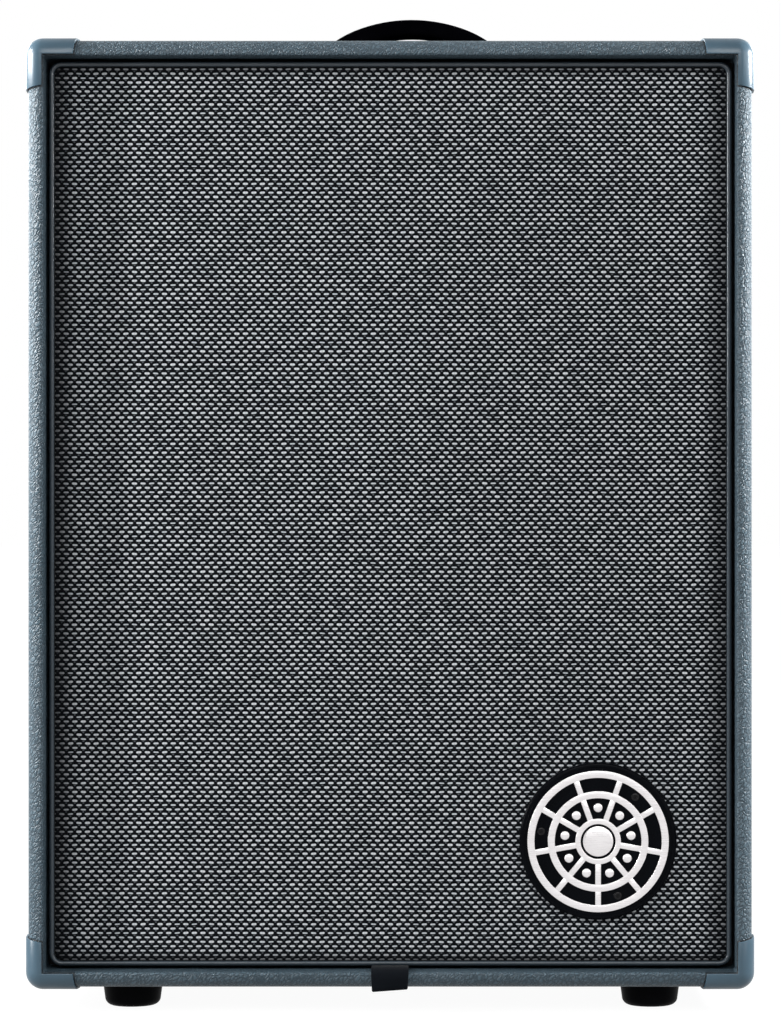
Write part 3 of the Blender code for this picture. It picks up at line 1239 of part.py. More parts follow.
def make_circuit_board():
    """The board behind the knobs, with the pots, the mute switch and the parts of its far side."""
    front = PLATE_BACK - BOARD_BEHIND
    back = front - BOARD_THICKNESS
    left = LAST_KNOB_X - BOARD_MARGIN
    right = BUTTON_X + BOARD_MARGIN
    middle_x = (left + right) / 2
    size = (right - left, BOARD_THICKNESS, BOARD_HEIGHT)
    place = (middle_x, (front + back) / 2, UPPER_Z)
    board = part("circuit_board", block("circuit_board", size), CIRCUIT, place)
    overlap = BOARD_THICKNESS / 2
    pot_front = PLATE_BACK - GAP
    pot_length = pot_front - front + overlap
    pot_y = pot_front - pot_length / 2
    bore_length = SHAFT_REACH + 2 * GAP
    for name, x in knob_places():
        pot = cylinder(name + "_pot", POT_RADIUS, pot_length)
        join(board, tool(name + "_pot", pot, (x, pot_y, UPPER_Z), REARWARD))
        bore = cylinder(name + "_bore", hole_radius(SHAFT_RADIUS, SMALL_STEPS), 2 * bore_length)
        cut(board, tool(name + "_bore", bore, (x, PLATE_BACK, UPPER_Z), REARWARD))
    switch_front = PLATE_BACK - BUTTON_TRAVEL - 2 * GAP
    switch_length = switch_front - front + overlap
    switch = block("mute_switch", (SWITCH_SIZE, switch_length, SWITCH_SIZE))
    join(board, tool("mute_switch", switch, (BUTTON_X, switch_front - switch_length / 2, UPPER_Z)))
    can_length = BOARD_CAN_LENGTH + overlap
    can_y = back + overlap - can_length / 2
    for index in range(BOARD_CAN_COUNT):
        name = f"board_can_{index + 1}"
        x = left + BOARD_CAN_RADIUS * 2 + index * BOARD_CAN_RADIUS * 2.5
        mesh = cylinder(name, BOARD_CAN_RADIUS, can_length, 10)
        join(board, tool(name, mesh, (x, can_y, UPPER_Z), REARWARD))
    block_length = TRANSFORMER_SIZE[1] + overlap
    size = (TRANSFORMER_SIZE[0], block_length, TRANSFORMER_SIZE[2])
    place = (right - TRANSFORMER_SIZE[0], back + overlap - block_length / 2, UPPER_Z)
    join(board, tool("board_transformer", block("board_transformer", size), place))


def make_button():
    behind = PLATE_THICKNESS + GAP
    length = behind + BUTTON_STAND
    place = (BUTTON_X, PLATE_FRONT - behind, UPPER_Z)
    bm = block_shape((BUTTON_SIZE, length, BUTTON_SIZE))
    bmesh.ops.translate(bm, vec=(0.0, length / 2, 0.0), verts=bm.verts)
    front_rim = [edge for edge in bm.edges if all(vert.co.y > length / 2 for vert in edge.verts)]
    round_edges(bm, front_rim, BUTTON_EDGE_RADIUS, FINE_SEGMENTS)
    part("mute_button", finished(bm, "mute_button"), BLACK_PLASTIC, place)


def make_jack():
    front = JACK_COLLAR_THICKNESS + GAP
    behind = -PLATE_THICKNESS - GAP
    profile = [
        (JACK_BORE_RADIUS, front), (JACK_COLLAR_RADIUS, front), (JACK_COLLAR_RADIUS, GAP),
        (JACK_NECK_RADIUS, GAP), (JACK_NECK_RADIUS, behind), (JACK_BODY_RADIUS, behind),
        (JACK_BODY_RADIUS, behind - JACK_BODY_LENGTH), (0.0, behind - JACK_BODY_LENGTH),
        (0.0, front - JACK_BORE_DEPTH), (JACK_BORE_RADIUS, front - JACK_BORE_DEPTH),
    ]
    start = 7
    ordered = profile[start + 1:] + profile[:start + 1]
    place = (JACK_X, PLATE_FRONT, UPPER_Z)
    part("input_jack", turned("input_jack", ordered, SMALL_STEPS), STEEL, place, REARWARD)


def make_socket(name, x, look, recess_radius):
    """A flanged round socket with a blind recess, ready for its contacts."""
    size = (SOCKET_FLANGE_WIDTH, SOCKET_FLANGE_THICKNESS, SOCKET_FLANGE_HEIGHT)
    flange_y = PLATE_FRONT + GAP + SOCKET_FLANGE_THICKNESS / 2
    mesh = rounded_block(name, size, 1, SOCKET_CORNER_RADIUS, FINE_SEGMENTS)
    socket = part(name, mesh, look, (x, flange_y, LOWER_Z))
    flange_front = PLATE_FRONT + GAP + SOCKET_FLANGE_THICKNESS
    body_back = PLATE_BACK - SOCKET_BODY_LENGTH
    body_front = flange_y
    body = cylinder(name + "_body", SOCKET_BODY_RADIUS, body_front - body_back, ROUND_STEPS)
    join(socket, tool(name + "_body", body, (x, (body_front + body_back) / 2, LOWER_Z), REARWARD))
    floor_y = flange_front - SOCKET_RECESS_DEPTH
    recess = cylinder(name + "_recess", recess_radius, 2 * SOCKET_RECESS_DEPTH, ROUND_STEPS)
    cut(socket, tool(name + "_recess", recess, (x, flange_front, LOWER_Z), REARWARD))
    return socket, floor_y


def add_post(socket, name, radius, length, floor_y, x, z):
    """A round contact that stands on the floor of a recess."""
    root = radius / 2
    mesh = cylinder(name, radius, length + root, 12)
    join(socket, tool(name, mesh, (x, floor_y + (length - root) / 2, z), REARWARD))


def make_sockets():
    socket, floor_y = make_socket("di_connector", DI_X, STEEL, DI_RECESS_RADIUS)
    for index in range(3):
        angle = math.radians(90.0 + 120.0 * index)
        x = DI_X + DI_PIN_CIRCLE * math.cos(angle)
        z = LOWER_Z + DI_PIN_CIRCLE * math.sin(angle)
        add_post(socket, f"di_pin_{index + 1}", DI_PIN_RADIUS, DI_PIN_LENGTH, floor_y, x, z)
    name = "speaker_output_socket"
    socket, floor_y = make_socket(name, SPEAKER_OUT_X, BLACK_PLASTIC, SPEAKER_OUT_RECESS_RADIUS)
    add_post(
        socket, "speaker_out_post", SPEAKER_OUT_POST_RADIUS, SPEAKER_OUT_POST_LENGTH, floor_y,
        SPEAKER_OUT_X, LOWER_Z,
    )


def rocker_swing():
    """How far the rocker's corners reach from its pivot."""
    return math.hypot(ROCKER_LENGTH / 2, ROCKER_THICKNESS / 2)


def make_inlet():
    """The mains inlet and the bay of the rocker switch, in one moulding."""
    flange_size = (INLET_FLANGE_WIDTH, INLET_FLANGE_THICKNESS, INLET_FLANGE_HEIGHT)
    flange_back = PLATE_FRONT + GAP
    flange_front = flange_back + INLET_FLANGE_THICKNESS
    place = (INLET_X, (flange_back + flange_front) / 2, LOWER_Z)
    mesh = rounded_block("mains_inlet", flange_size, 1, INLET_CORNER_RADIUS, FINE_SEGMENTS)
    inlet = part("mains_inlet", mesh, BLACK_PLASTIC, place)
    body_back = PLATE_BACK - INLET_BODY_LENGTH
    body_front = place[1]
    body_size = (
        INLET_FLANGE_WIDTH - 2 * INLET_FLANGE_MARGIN, body_front - body_back,
        INLET_FLANGE_HEIGHT - 2 * INLET_FLANGE_MARGIN,
    )
    body_place = (INLET_X, (body_front + body_back) / 2, LOWER_Z)
    join(inlet, tool("inlet_body", block("inlet_body", body_size), body_place))
    recess_x = INLET_X + INLET_RECESS_X
    recess_size = (INLET_RECESS_WIDTH, 2 * INLET_RECESS_DEPTH, INLET_RECESS_HEIGHT)
    recess = rounded_block("inlet_recess", recess_size, 1, INLET_CORNER_RADIUS, FINE_SEGMENTS)
    cut(inlet, tool("inlet_recess", recess, (recess_x, flange_front, LOWER_Z)))
    floor_y = flange_front - INLET_RECESS_DEPTH
    root = INLET_PIN_THICKNESS
    pin_size = (INLET_PIN_THICKNESS, INLET_PIN_LENGTH + root, INLET_PIN_WIDTH)
    pin_y = floor_y + (INLET_PIN_LENGTH - root) / 2
    drop = INLET_PIN_WIDTH / 4
    for index, rise in ((-1, -drop), (0, drop), (1, -drop)):
        name = f"inlet_pin_{index + 2}"
        pin_place = (recess_x + index * INLET_PIN_SPACING, pin_y, LOWER_Z + rise)
        join(inlet, tool(name, block(name, pin_size), pin_place))
    bay_reach = rocker_swing() + RUNNING_GAP
    bay_depth = ROCKER_LENGTH / 2 * math.sin(ROCKER_TILT) + ROCKER_THICKNESS / 2 + RUNNING_GAP
    bay_size = (ROCKER_WIDTH + 2 * RUNNING_GAP, 2 * bay_depth, 2 * bay_reach)
    bay_place = (INLET_X + ROCKER_OFFSET_X, flange_front, LOWER_Z)
    cut(inlet, tool("rocker_bay", block("rocker_bay", bay_size), bay_place))


def make_rocker():
    """The rocker at rest, with its lower end pressed in, on its pivot in the bay."""
    half = ROCKER_LENGTH / 2
    depth = ROCKER_THICKNESS / 2
    outline = [
        (-depth, -half), (depth, -half), (depth - ROCKER_DISH, 0.0), (depth, half), (-depth, half),
    ]
    mesh = flat_outline("power_rocker", outline, ROCKER_WIDTH)
    mesh.transform(Matrix.Rotation(-ROCKER_TILT, 4, "Z"))
    flange_front = PLATE_FRONT + GAP + INLET_FLANGE_THICKNESS
    pivot = (INLET_X + ROCKER_OFFSET_X, flange_front, LOWER_Z)
    part("power_rocker", mesh, BLACK_PLASTIC, pivot, SIDE_PROFILE)


def make_fan():
    front = PLATE_BACK - GAP
    back = front - FAN_DEPTH
    middle_y = (front + back) / 2
    size = (FAN_SIZE, FAN_DEPTH, FAN_SIZE)
    mesh = rounded_block("fan_housing", size, 1, FAN_CORNER_RADIUS, FINE_SEGMENTS)
    housing = part("fan_housing", mesh, BLACK_PLASTIC, (FAN_X, middle_y, LOWER_Z))
    bore = cylinder("fan_bore", FAN_BORE_RADIUS, 2 * FAN_DEPTH, ROUND_STEPS)
    cut(housing, tool("fan_bore", bore, (FAN_X, middle_y, LOWER_Z), REARWARD))
    strut_y = back + FAN_STRUT_THICKNESS / 2
    hub = cylinder("fan_hub", FAN_HUB_RADIUS, FAN_STRUT_THICKNESS, SMALL_STEPS)
    join(housing, tool("fan_hub", hub, (FAN_X, strut_y, LOWER_Z), REARWARD))
    strut_length = FAN_SIZE - 2 * RUNNING_GAP
    for index in range(FAN_STRUTS // 2):
        name = f"fan_strut_{index + 1}"
        mesh = block(name, (strut_length, FAN_STRUT_WIDTH, FAN_STRUT_THICKNESS))
        turn = Matrix.Rotation(math.pi * 2 * index / FAN_STRUTS, 4, "Z")
        mesh.transform(turn)
        join(housing, tool(name, mesh, (FAN_X, strut_y, LOWER_Z), REARWARD))
    rotor_back = back + FAN_STRUT_THICKNESS + RUNNING_GAP
    rotor_front = rotor_back + ROTOR_DEPTH
    pin_front = rotor_front - ROTOR_BLADE_THICKNESS - 2 * RUNNING_GAP
    pin_back = strut_y
    pin = cylinder("fan_pin", FAN_PIN_RADIUS, pin_front - pin_back, 12)
    join(housing, tool("fan_pin", pin, (FAN_X, (pin_front + pin_back) / 2, LOWER_Z), REARWARD))

    bore_radius = hole_radius(FAN_PIN_RADIUS, SMALL_STEPS)
    profile = [
        (0.0, ROTOR_DEPTH), (FAN_HUB_RADIUS, ROTOR_DEPTH), (FAN_HUB_RADIUS, 0.0),
        (bore_radius, 0.0), (bore_radius, ROTOR_DEPTH - ROTOR_BLADE_THICKNESS),
        (0.0, ROTOR_DEPTH - ROTOR_BLADE_THICKNESS),
    ]
    place = (FAN_X, rotor_back, LOWER_Z)
    rotor = part("fan_rotor", turned("fan_rotor", profile, SMALL_STEPS), BLACK_PLASTIC, place, REARWARD)
    tip = FAN_BORE_RADIUS - ROTOR_TIP_CLEARANCE
    inner = FAN_HUB_RADIUS * 0.8
    chord = (ROTOR_DEPTH - 2 * ROTOR_BLADE_THICKNESS) / math.cos(ROTOR_BLADE_PITCH) * 0.9
    reach = math.sqrt(tip ** 2 - (chord * math.sin(ROTOR_BLADE_PITCH) / 2) ** 2)
    for index in range(ROTOR_BLADES):
        name = f"rotor_blade_{index + 1}"
        mesh = block(name, (reach - inner, ROTOR_BLADE_THICKNESS, chord))
        mesh.transform(Matrix.Rotation(ROTOR_BLADE_PITCH, 4, "X"))
        mesh.transform(Matrix.Translation(((reach + inner) / 2, 0.0, ROTOR_DEPTH / 2)))
        mesh.transform(Matrix.Rotation(2 * math.pi * index / ROTOR_BLADES, 4, "Z"))
        join(rotor, tool(name, mesh, place, REARWARD))


def make_heat_sink():
    """A finned block on the chassis floor, in front of the fan."""
    floor = AMP_MIDDLE - CHASSIS_HEIGHT / 2 + CHASSIS_WALL + GAP
    rear = PLATE_BACK - GAP - FAN_DEPTH - SINK_BEHIND
    middle_y = rear - SINK_DEPTH / 2
    size = (SINK_LENGTH, SINK_DEPTH, SINK_BASE)
    place = (FAN_X, middle_y, floor + SINK_BASE / 2)
    sink = part("heat_sink", block("heat_sink", size), ALUMINIUM, place)
    fins = bmesh.new()
    pitch = (SINK_LENGTH - SINK_FIN_THICKNESS) / (SINK_FINS - 1)
    for index in range(SINK_FINS):
        fin = bmesh.ops.create_cube(fins, size=1.0)["verts"]
        height = SINK_HEIGHT - SINK_BASE / 2
        bmesh.ops.scale(fins, vec=Vector((SINK_FIN_THICKNESS, SINK_DEPTH, height)), verts=fin)
        x = -SINK_LENGTH / 2 + SINK_FIN_THICKNESS / 2 + index * pitch
        bmesh.ops.translate(fins, vec=(x, 0.0, SINK_BASE / 2 + height / 2), verts=fin)
    fins_place = (FAN_X, middle_y, floor)
    join(sink, tool("sink_fins", finished(fins, "sink_fins", smooth=False), fins_place))


def main():
    make_covering()
    make_panels()
    make_baffle()
    make_back()
    make_protectors()
    make_feet()
    make_handle()
    make_grille_frame()
    make_grille_cloth()
    make_grille_piping()
    make_badge()
    make_pull_tab()
    make_fastening_strips()
    make_woofers()
    make_horn()
    make_port()
    make_crossover()
    make_chassis()
    make_control_panel()
    make_knobs()
    make_circuit_board()
    make_button()
    make_jack()
    make_sockets()
    make_inlet()
    make_rocker()
    make_fan()
    make_heat_sink()


main()
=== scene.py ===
"""Looks of the bass combo amplifier: finishes, fine shapes, light and camera round the CAD frame.

Metres, +Z up, the front faces -Y. Places and sizes come from the CAD nodes where they can.
"""

import math

import bmesh
import bpy
from mathutils import Matrix, Vector


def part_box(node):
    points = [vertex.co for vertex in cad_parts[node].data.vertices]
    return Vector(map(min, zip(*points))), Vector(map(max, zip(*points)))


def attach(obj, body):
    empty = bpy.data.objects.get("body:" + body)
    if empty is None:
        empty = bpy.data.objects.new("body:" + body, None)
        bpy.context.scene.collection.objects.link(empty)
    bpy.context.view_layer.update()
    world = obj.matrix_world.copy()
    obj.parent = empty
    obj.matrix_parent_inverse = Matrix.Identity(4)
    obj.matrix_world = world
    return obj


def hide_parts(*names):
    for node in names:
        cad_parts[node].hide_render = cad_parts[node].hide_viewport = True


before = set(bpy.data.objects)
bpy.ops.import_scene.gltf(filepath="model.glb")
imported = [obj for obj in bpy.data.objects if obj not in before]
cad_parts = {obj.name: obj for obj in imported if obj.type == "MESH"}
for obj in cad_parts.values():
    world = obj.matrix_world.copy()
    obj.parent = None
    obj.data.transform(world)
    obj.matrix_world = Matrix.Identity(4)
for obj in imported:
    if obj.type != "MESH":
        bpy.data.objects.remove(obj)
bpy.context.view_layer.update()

# The photograph's view
CAMERA_DISTANCE = 2.2             # from the plane of the front
CAMERA_X = 0.048                  # right of the cabinet's middle
VIEW_HEIGHT = 0.6419              # of the frame, at the plane of the front
VIEW_CENTRE_X = 0.0004
VIEW_CENTRE_RISE = 0.0011         # above the cabinet's middle
SENSOR_HEIGHT = 24.0              # millimetres

# Cabinet
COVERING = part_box("vinyl_covering")
CABINET_WIDTH, CABINET_DEPTH, CABINET_HEIGHT = COVERING[1] - COVERING[0]
FRONT, REAR = COVERING[0].y, COVERING[1].y
BOTTOM, TOP = COVERING[0].z, COVERING[1].z
MIDDLE_Z = (TOP + BOTTOM) / 2
LIP_WIDTH = 0.010
LIP_EDGE = 0.0017                 # rounding of the lip towards the recess
RIM_RADIUS = 0.0085
LONG_EDGE_RADIUS = 0.0095
RECESS_RADIUS = 0.0015
SKIN = 0.001
GAP = 0.0003

# Corner protectors
PROTECTOR_THICKNESS = 0.0013
PROTECTOR_LEG = 0.0298            # of the arm along the width
PROTECTOR_DROP = 0.0303           # of the arm along the height
PROTECTOR_DEPTH = 0.036
PROTECTOR_LIP_COVER = 0.0092
PROTECTOR_FLARE = 0.12
PROTECTOR_TAPER = 0.10
PROTECTOR_DROP_TAPER = 0.16
PROTECTOR_DEPTH_TAPER = 0.22
PROTECTOR_SHADOW_BAND = 0.0011           # of the painted shadow on the covering beside the end of a protector's arm
PROTECTOR_DIAGONAL = 0.047
PROTECTOR_EDGE = 0.0004

# Grille
FLECK_PITCH_X = 0.00539
FLECK_PITCH_Z = 0.002784
FLECK_HALF_WIDTH = 0.32           # this and the next two are shares of the pitch
FLECK_THIN = 0.17
FLECK_SPREAD = 0.11
SHADE_SIDE_ZONE = 0.019                 # of the cloth at its sides, where painted shade darkens it towards its edges in the recess
SHADE_END_ZONE = 0.008
PAINTED_SHADE_TONE = 0.35
PAINTED_LEFT_SHADE_TONE = 0.15
CLOTH_CORNER = 0.0045
PIPING_CORNER = 0.008

# Badge
BADGE_EDGE = 0.0015
BADGE_SINK = 0.0003               # of the disc's face behind its rim
BADGE_SPOKES = 9
SPOKE_HALF_WIDTH = 0.0018
INNER_SPOKE = (0.0135, 0.0284)    # start and end, from the badge's middle
OUTER_SPOKE_START = 0.0306
OUTER_RING_WIDTH = 0.0045
MIDDLE_RING = (0.0273, 0.0317)    # inner and outer radius
HUB_RING = (0.0110, 0.0144)
HUB_RADIUS = 0.0095
HUB_RISE = 0.0009
STUD_RADIUS = 0.0028
STUD_RISE = 0.0007
STUD_CIRCLE = 0.0212
BADGE_SCREW_CIRCLE = 0.0365
BADGE_SCREW_ANGLES = (50.0, 170.0, 290.0)

# Handle and feet
STRAP_ARCH = 0.099                # radius of the strap's middle line
STRAP_FLARE = 0.030
STRAP_THICKNESS = 0.0107
STRAP_END_THICKNESS = 0.005
FOOT_BASE_RADIUS = 0.0178
FOOT_EDGE = 0.005
FOOT_SCREW_HOLE = 0.0060
FOOT_SCREW_DEPTH = 0.0090

# Woofers, from their middle and from the front of the baffle
FLANGE_RADIUS = 0.128
FLANGE_FRONT = -0.0053
FLANGE_SCREW_CIRCLE = 0.1228
CONE_RADIUS = 0.088
CONE_RIM_RADIUS = 0.092
CONE_RIM = -0.0033
CAP_RADIUS = 0.034
CAP_RISE = 0.012
COIL_RADIUS = 0.0252
SURROUND_RADIUS = 0.1045

# Amplifier
KNOBS = ("gain_knob", "bass_knob", "mid_knob", "treble_knob", "volume_knob")
KNOB_FLUTES = 16
DIAL_SWEEP = 140.0                # degrees each way from the top
SHAFT_HOLE = 0.0039               # radius of the panel's holes, here and in the next two
JACK_HOLE = 0.0060
SOCKET_HOLE = 0.0123
FAN_RADIUS = 0.0235
SLOT_PITCH = 0.0078
SLOT_HEIGHT = 0.0035
ROCKER_TILT = 12.0                # degrees, lower end pressed in

AXIS_HOLE = 0.00005               # radius at which a turned profile ends on its axis
FINE = 12    # steps in a quarter turn of a fine edge
ROUND = 96  # steps in a full turn


# Node graphs

class Nodes:
    """A node tree with short ways to add nodes."""

    def __init__(self, tree):
        self.tree = tree

    def node(self, kind, inputs=(), **settings):
        made = self.tree.nodes.new(kind)
        for key, value in settings.items():
            setattr(made, key, value)
        for key, value in dict(inputs).items():
            self.put(made.inputs[key], value)
        return made

    def put(self, socket, value):
        if isinstance(value, bpy.types.NodeSocket):
            self.tree.links.new(value, socket)
        else:
            socket.default_value = value

    def math(self, operation, *values):
        return self.node("ShaderNodeMath", enumerate(values), operation=operation).outputs[0]

    def plus(self, first, second):
        return self.math("ADD", first, second)

    def minus(self, first, second):
        return self.math("SUBTRACT", first, second)

    def times(self, first, second):
        return self.math("MULTIPLY", first, second)

    def over(self, first, second):
        return self.math("DIVIDE", first, second)

    def size(self, value):
        return self.math("ABSOLUTE", value)

    def vector(self, operation, first, second):
        return self.node("ShaderNodeVectorMath", {0: first, 1: second}, operation=operation).outputs[0]

    def background_rays(self):
        """1 for the rays that see the white background, 0 for those that light the object."""
        rays = self.node("ShaderNodeLightPath").outputs
        seen = self.math("MAXIMUM", rays["Is Camera Ray"], rays["Is Glossy Ray"])
        return self.math("MAXIMUM", seen, rays["Is Transmission Ray"])


class Graph(Nodes):
    """A material's nodes, with its shader."""

    def __init__(self, name):
        self.material = bpy.data.materials.new(name)
        self.material.use_nodes = True
        super().__init__(self.material.node_tree)
        self.shader = self.tree.nodes["Principled BSDF"]
        self.output = self.tree.nodes["Material Output"]

    def place(self):
        """The point in the piece's own space, as a vector and as its x, y and z."""
        vector = self.node("ShaderNodeTexCoord").outputs["Object"]
        parts = self.node("ShaderNodeSeparateXYZ", {"Vector": vector}).outputs
        return vector, parts[0], parts[1], parts[2]

    def noise(self, vector, scale, detail=3.0, roughness=0.55):
        inputs = {"Vector": vector, "Scale": scale, "Detail": detail, "Roughness": roughness}
        return self.node("ShaderNodeTexNoise", inputs).outputs["Fac"]

    def ramp(self, value, low, high, out_low=0.0, out_high=1.0):
        """A clamped smooth step from one range to another."""
        inputs = {
            "Value": value, "From Min": low, "From Max": high, "To Min": out_low, "To Max": out_high,
        }
        return self.node("ShaderNodeMapRange", inputs, interpolation_type="SMOOTHSTEP").outputs["Result"]

    def mix(self, factor, first, second):
        made = self.node("ShaderNodeMix", data_type="RGBA")
        self.put(made.inputs["Factor"], factor)
        for socket, value in ((made.inputs[6], first), (made.inputs[7], second)):
            self.put(socket, value if isinstance(value, bpy.types.NodeSocket) else (*value, 1.0))
        return made.outputs[2]

    def bump(self, height, strength, distance):
        inputs = {"Height": height, "Strength": strength, "Distance": distance}
        return self.node("ShaderNodeBump", inputs).outputs["Normal"]

    def finish(self, colour, roughness, normal=None, specular=0.5, **constants):
        self.put(self.shader.inputs["Base Color"], colour)
        self.put(self.shader.inputs["Roughness"], roughness)
        if normal is not None:
            self.put(self.shader.inputs["Normal"], normal)
        self.shader.inputs["Specular IOR Level"].default_value = specular
        for key, value in constants.items():
            self.shader.inputs[key.replace("_", " ")].default_value = value
        return self.material


def protector_seams(g, x, y, z):
    """1 in the narrow bands of painted shadow where the arms of the corner protectors end on the lips, 0
    elsewhere.
    """
    from_side = g.minus(CABINET_WIDTH / 2, g.size(x))
    from_end = g.minus(CABINET_HEIGHT / 2, g.size(g.minus(z, MIDDLE_Z)))
    depth = g.minus(CABINET_DEPTH / 2, g.size(g.minus(y, (FRONT + REAR) / 2)))
    flare = g.times(depth, PROTECTOR_FLARE)
    bands = []
    for along, across, leg, taper in (
        (from_side, from_end, PROTECTOR_LEG, PROTECTOR_TAPER),
        (from_end, from_side, PROTECTOR_DROP, PROTECTOR_DROP_TAPER),
    ):
        beyond = g.minus(along, g.minus(g.plus(flare, leg), g.times(across, taper)))
        inside = g.ramp(across, PROTECTOR_LIP_COVER + 0.0010, PROTECTOR_LIP_COVER + 0.0004)
        fade = g.ramp(depth, RIM_RADIUS + 0.004, RIM_RADIUS)
        band = g.ramp(beyond, PROTECTOR_SHADOW_BAND, PROTECTOR_SHADOW_BAND * 0.6)
        bands.append(g.times(g.times(inside, fade), band))
    return g.times(g.math("MAXIMUM", *bands), 0.9)


def vinyl_material():
    """Pebbled blue-grey vinyl with fine creases between the pebbles, and painted shade in the creases."""
    g = Graph("vinyl")
    place, x, y, z = g.place()
    slanted = g.node(
        "ShaderNodeMapping", {"Vector": place, "Rotation": (0.35, 0.60, 0.20), "Scale": (1.0, 1.0, 2.1)},
        vector_type="TEXTURE",
    ).outputs[0]
    warp = g.node("ShaderNodeTexNoise", {"Vector": place, "Scale": 260.0, "Detail": 2.0}).outputs["Color"]
    warped = g.vector("ADD", slanted, g.vector("MULTIPLY", warp, (0.0022,) * 3))
    cells = g.node("ShaderNodeTexVoronoi", {"Vector": warped, "Scale": 500.0}, feature="DISTANCE_TO_EDGE")
    pebbles = g.ramp(cells.outputs["Distance"], 0.0, 0.28)
    fine = g.noise(place, 2600.0, 2.0)
    broad = g.noise(place, 9.0, 3.0)
    height = g.plus(g.times(pebbles, 0.8), g.times(fine, 0.3))
    tone = g.mix(g.ramp(broad, 0.35, 0.65), (0.054, 0.088, 0.112), (0.070, 0.106, 0.132))
    # painted shade: the colour darkens in the creases between the pebbles
    colour = g.mix(g.times(g.minus(1.0, pebbles), 0.76), tone, (0.016, 0.029, 0.040))
    # painted shadow: a dark band on the covering beside each end of a protector's arm
    colour = g.mix(protector_seams(g, x, y, z), colour, (0.003, 0.005, 0.007))
    roughness = g.ramp(fine, 0.3, 0.7, 0.41, 0.53)
    return g.finish(colour, roughness, g.bump(height, 1.0, 0.0005), 0.35)


def corner_material():
    """Smooth moulded plastic in the vinyl's colour, with faint handling marks."""
    g = Graph("corner_plastic")
    place = g.place()[0]
    marks = g.noise(place, 900.0, 4.0, 0.65)
    cloud = g.noise(place, 60.0, 2.0)
    colour = g.mix(g.ramp(cloud, 0.3, 0.7), (0.031, 0.065, 0.093), (0.038, 0.076, 0.107))
    roughness = g.ramp(marks, 0.35, 0.7, 0.30, 0.37)
    return g.finish(colour, roughness, g.bump(marks, 0.08, 0.0001), 0.45)


def cloth_material():
    """Black cloth with rows of silver-grey flecks, half a pitch apart from row to row, and painted shade
    towards its edges.
    """
    g = Graph("grille_cloth")
    place, x, _, z = g.place()
    wave = g.times(g.minus(g.noise(place, 14.0, 2.0), 0.5), 0.22)
    columns = g.plus(g.over(x, FLECK_PITCH_X), wave)
    rows = g.plus(g.over(z, FLECK_PITCH_Z), wave)

    def cell(lines):
        """Centred place in the cell, its column and its row."""
        row = g.math("FLOOR", lines)
        shifted = g.plus(columns, g.math("FRACT", g.times(row, 0.5)))
        across = g.minus(g.math("FRACT", shifted), 0.5)
        up = g.minus(g.math("FRACT", lines), 0.5)
        return across, up, g.math("FLOOR", shifted), row

    across, up, column, row = cell(rows)
    spot = g.node("ShaderNodeCombineXYZ", {"X": column, "Y": row}).outputs[0]
    chance = g.node("ShaderNodeTexWhiteNoise", {"Vector": spot}, noise_dimensions="2D").outputs
    share, lean, _ = g.node("ShaderNodeSeparateXYZ", {"Vector": chance["Color"]}).outputs
    spread = g.times(g.math("POWER", chance["Value"], 0.55), FLECK_SPREAD)
    side = g.over(g.size(across), FLECK_HALF_WIDTH)
    level = g.plus(up, g.times(g.times(across, g.minus(lean, 0.5)), 0.35))
    rise = g.over(g.size(level), g.plus(FLECK_THIN, spread))
    fleck = g.ramp(g.plus(g.math("POWER", side, 3.0), g.math("POWER", rise, 2.2)), 1.25, 0.55)
    # painted highlight: each fleck is lighter on its two lobes and darker at its middle and ends
    shine = g.minus(1.0, g.times(g.size(g.minus(side, 0.52)), 0.75))

    dot_across, dot_up, _, _ = cell(g.plus(rows, 0.5))
    dot_side = g.math("POWER", g.over(g.size(dot_across), 0.12), 2.0)
    dot_rise = g.math("POWER", g.over(g.size(dot_up), 0.20), 2.0)
    dot = g.ramp(g.plus(dot_side, dot_rise), 1.3, 0.2)

    black = (0.0006, 0.0010, 0.0016)
    ground = g.mix(g.noise(place, 5200.0, 2.0), black, (0.0030, 0.0042, 0.0058))
    grey = g.mix(g.times(dot, 0.75), ground, (0.115, 0.125, 0.140))
    bright = g.mix(share, (0.50, 0.52, 0.555), (0.65, 0.655, 0.685))
    colour = g.mix(fleck, grey, g.mix(shine, (0.26, 0.29, 0.32), bright))
    height = g.plus(fleck, g.times(dot, 0.4))
    # painted shade: the cloth darkens towards its edges in the recess, most at the left
    low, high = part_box("grille_cloth")
    painted_shade = g.ramp(x, low.x, low.x + SHADE_SIDE_ZONE, PAINTED_LEFT_SHADE_TONE, 1.0)
    for position, start, end in (
        (x, high.x, high.x - SHADE_SIDE_ZONE), (z, high.z, high.z - SHADE_END_ZONE), (z, low.z, low.z + SHADE_END_ZONE),
    ):
        painted_shade = g.times(painted_shade, g.ramp(position, start, end, PAINTED_SHADE_TONE, 1.0))
    colour = g.mix(painted_shade, black, colour)
    return g.finish(colour, g.ramp(fleck, 0.0, 1.0, 0.85, 0.55), g.bump(height, 0.4, 0.0003), 0.06)


def piping_material():
    """Extruded glossy cord with faint lengthwise waviness."""
    g = Graph("piping")
    ripple = g.noise(g.place()[0], 420.0, 2.0)
    colour = g.mix(ripple, (0.022, 0.032, 0.042), (0.032, 0.044, 0.055))
    return g.finish(colour, g.ramp(ripple, 0.3, 0.7, 0.18, 0.25), g.bump(ripple, 0.12, 0.0003), 0.35)


def grained_material(name, low, high, roughness, grain=1500.0, strength=0.25, depth=0.0002, specular=0.5):
    """A moulded or painted surface with a fine grain and a slow change of tone."""
    g = Graph(name)
    place = g.place()[0]
    fine = g.noise(place, grain, 3.0)
    slow = g.noise(place, 22.0, 3.0)
    colour = g.mix(g.ramp(slow, 0.3, 0.7), low, high)
    shine = g.ramp(fine, 0.3, 0.7, roughness - 0.05, roughness + 0.05)
    return g.finish(colour, shine, g.bump(fine, strength, depth), specular)


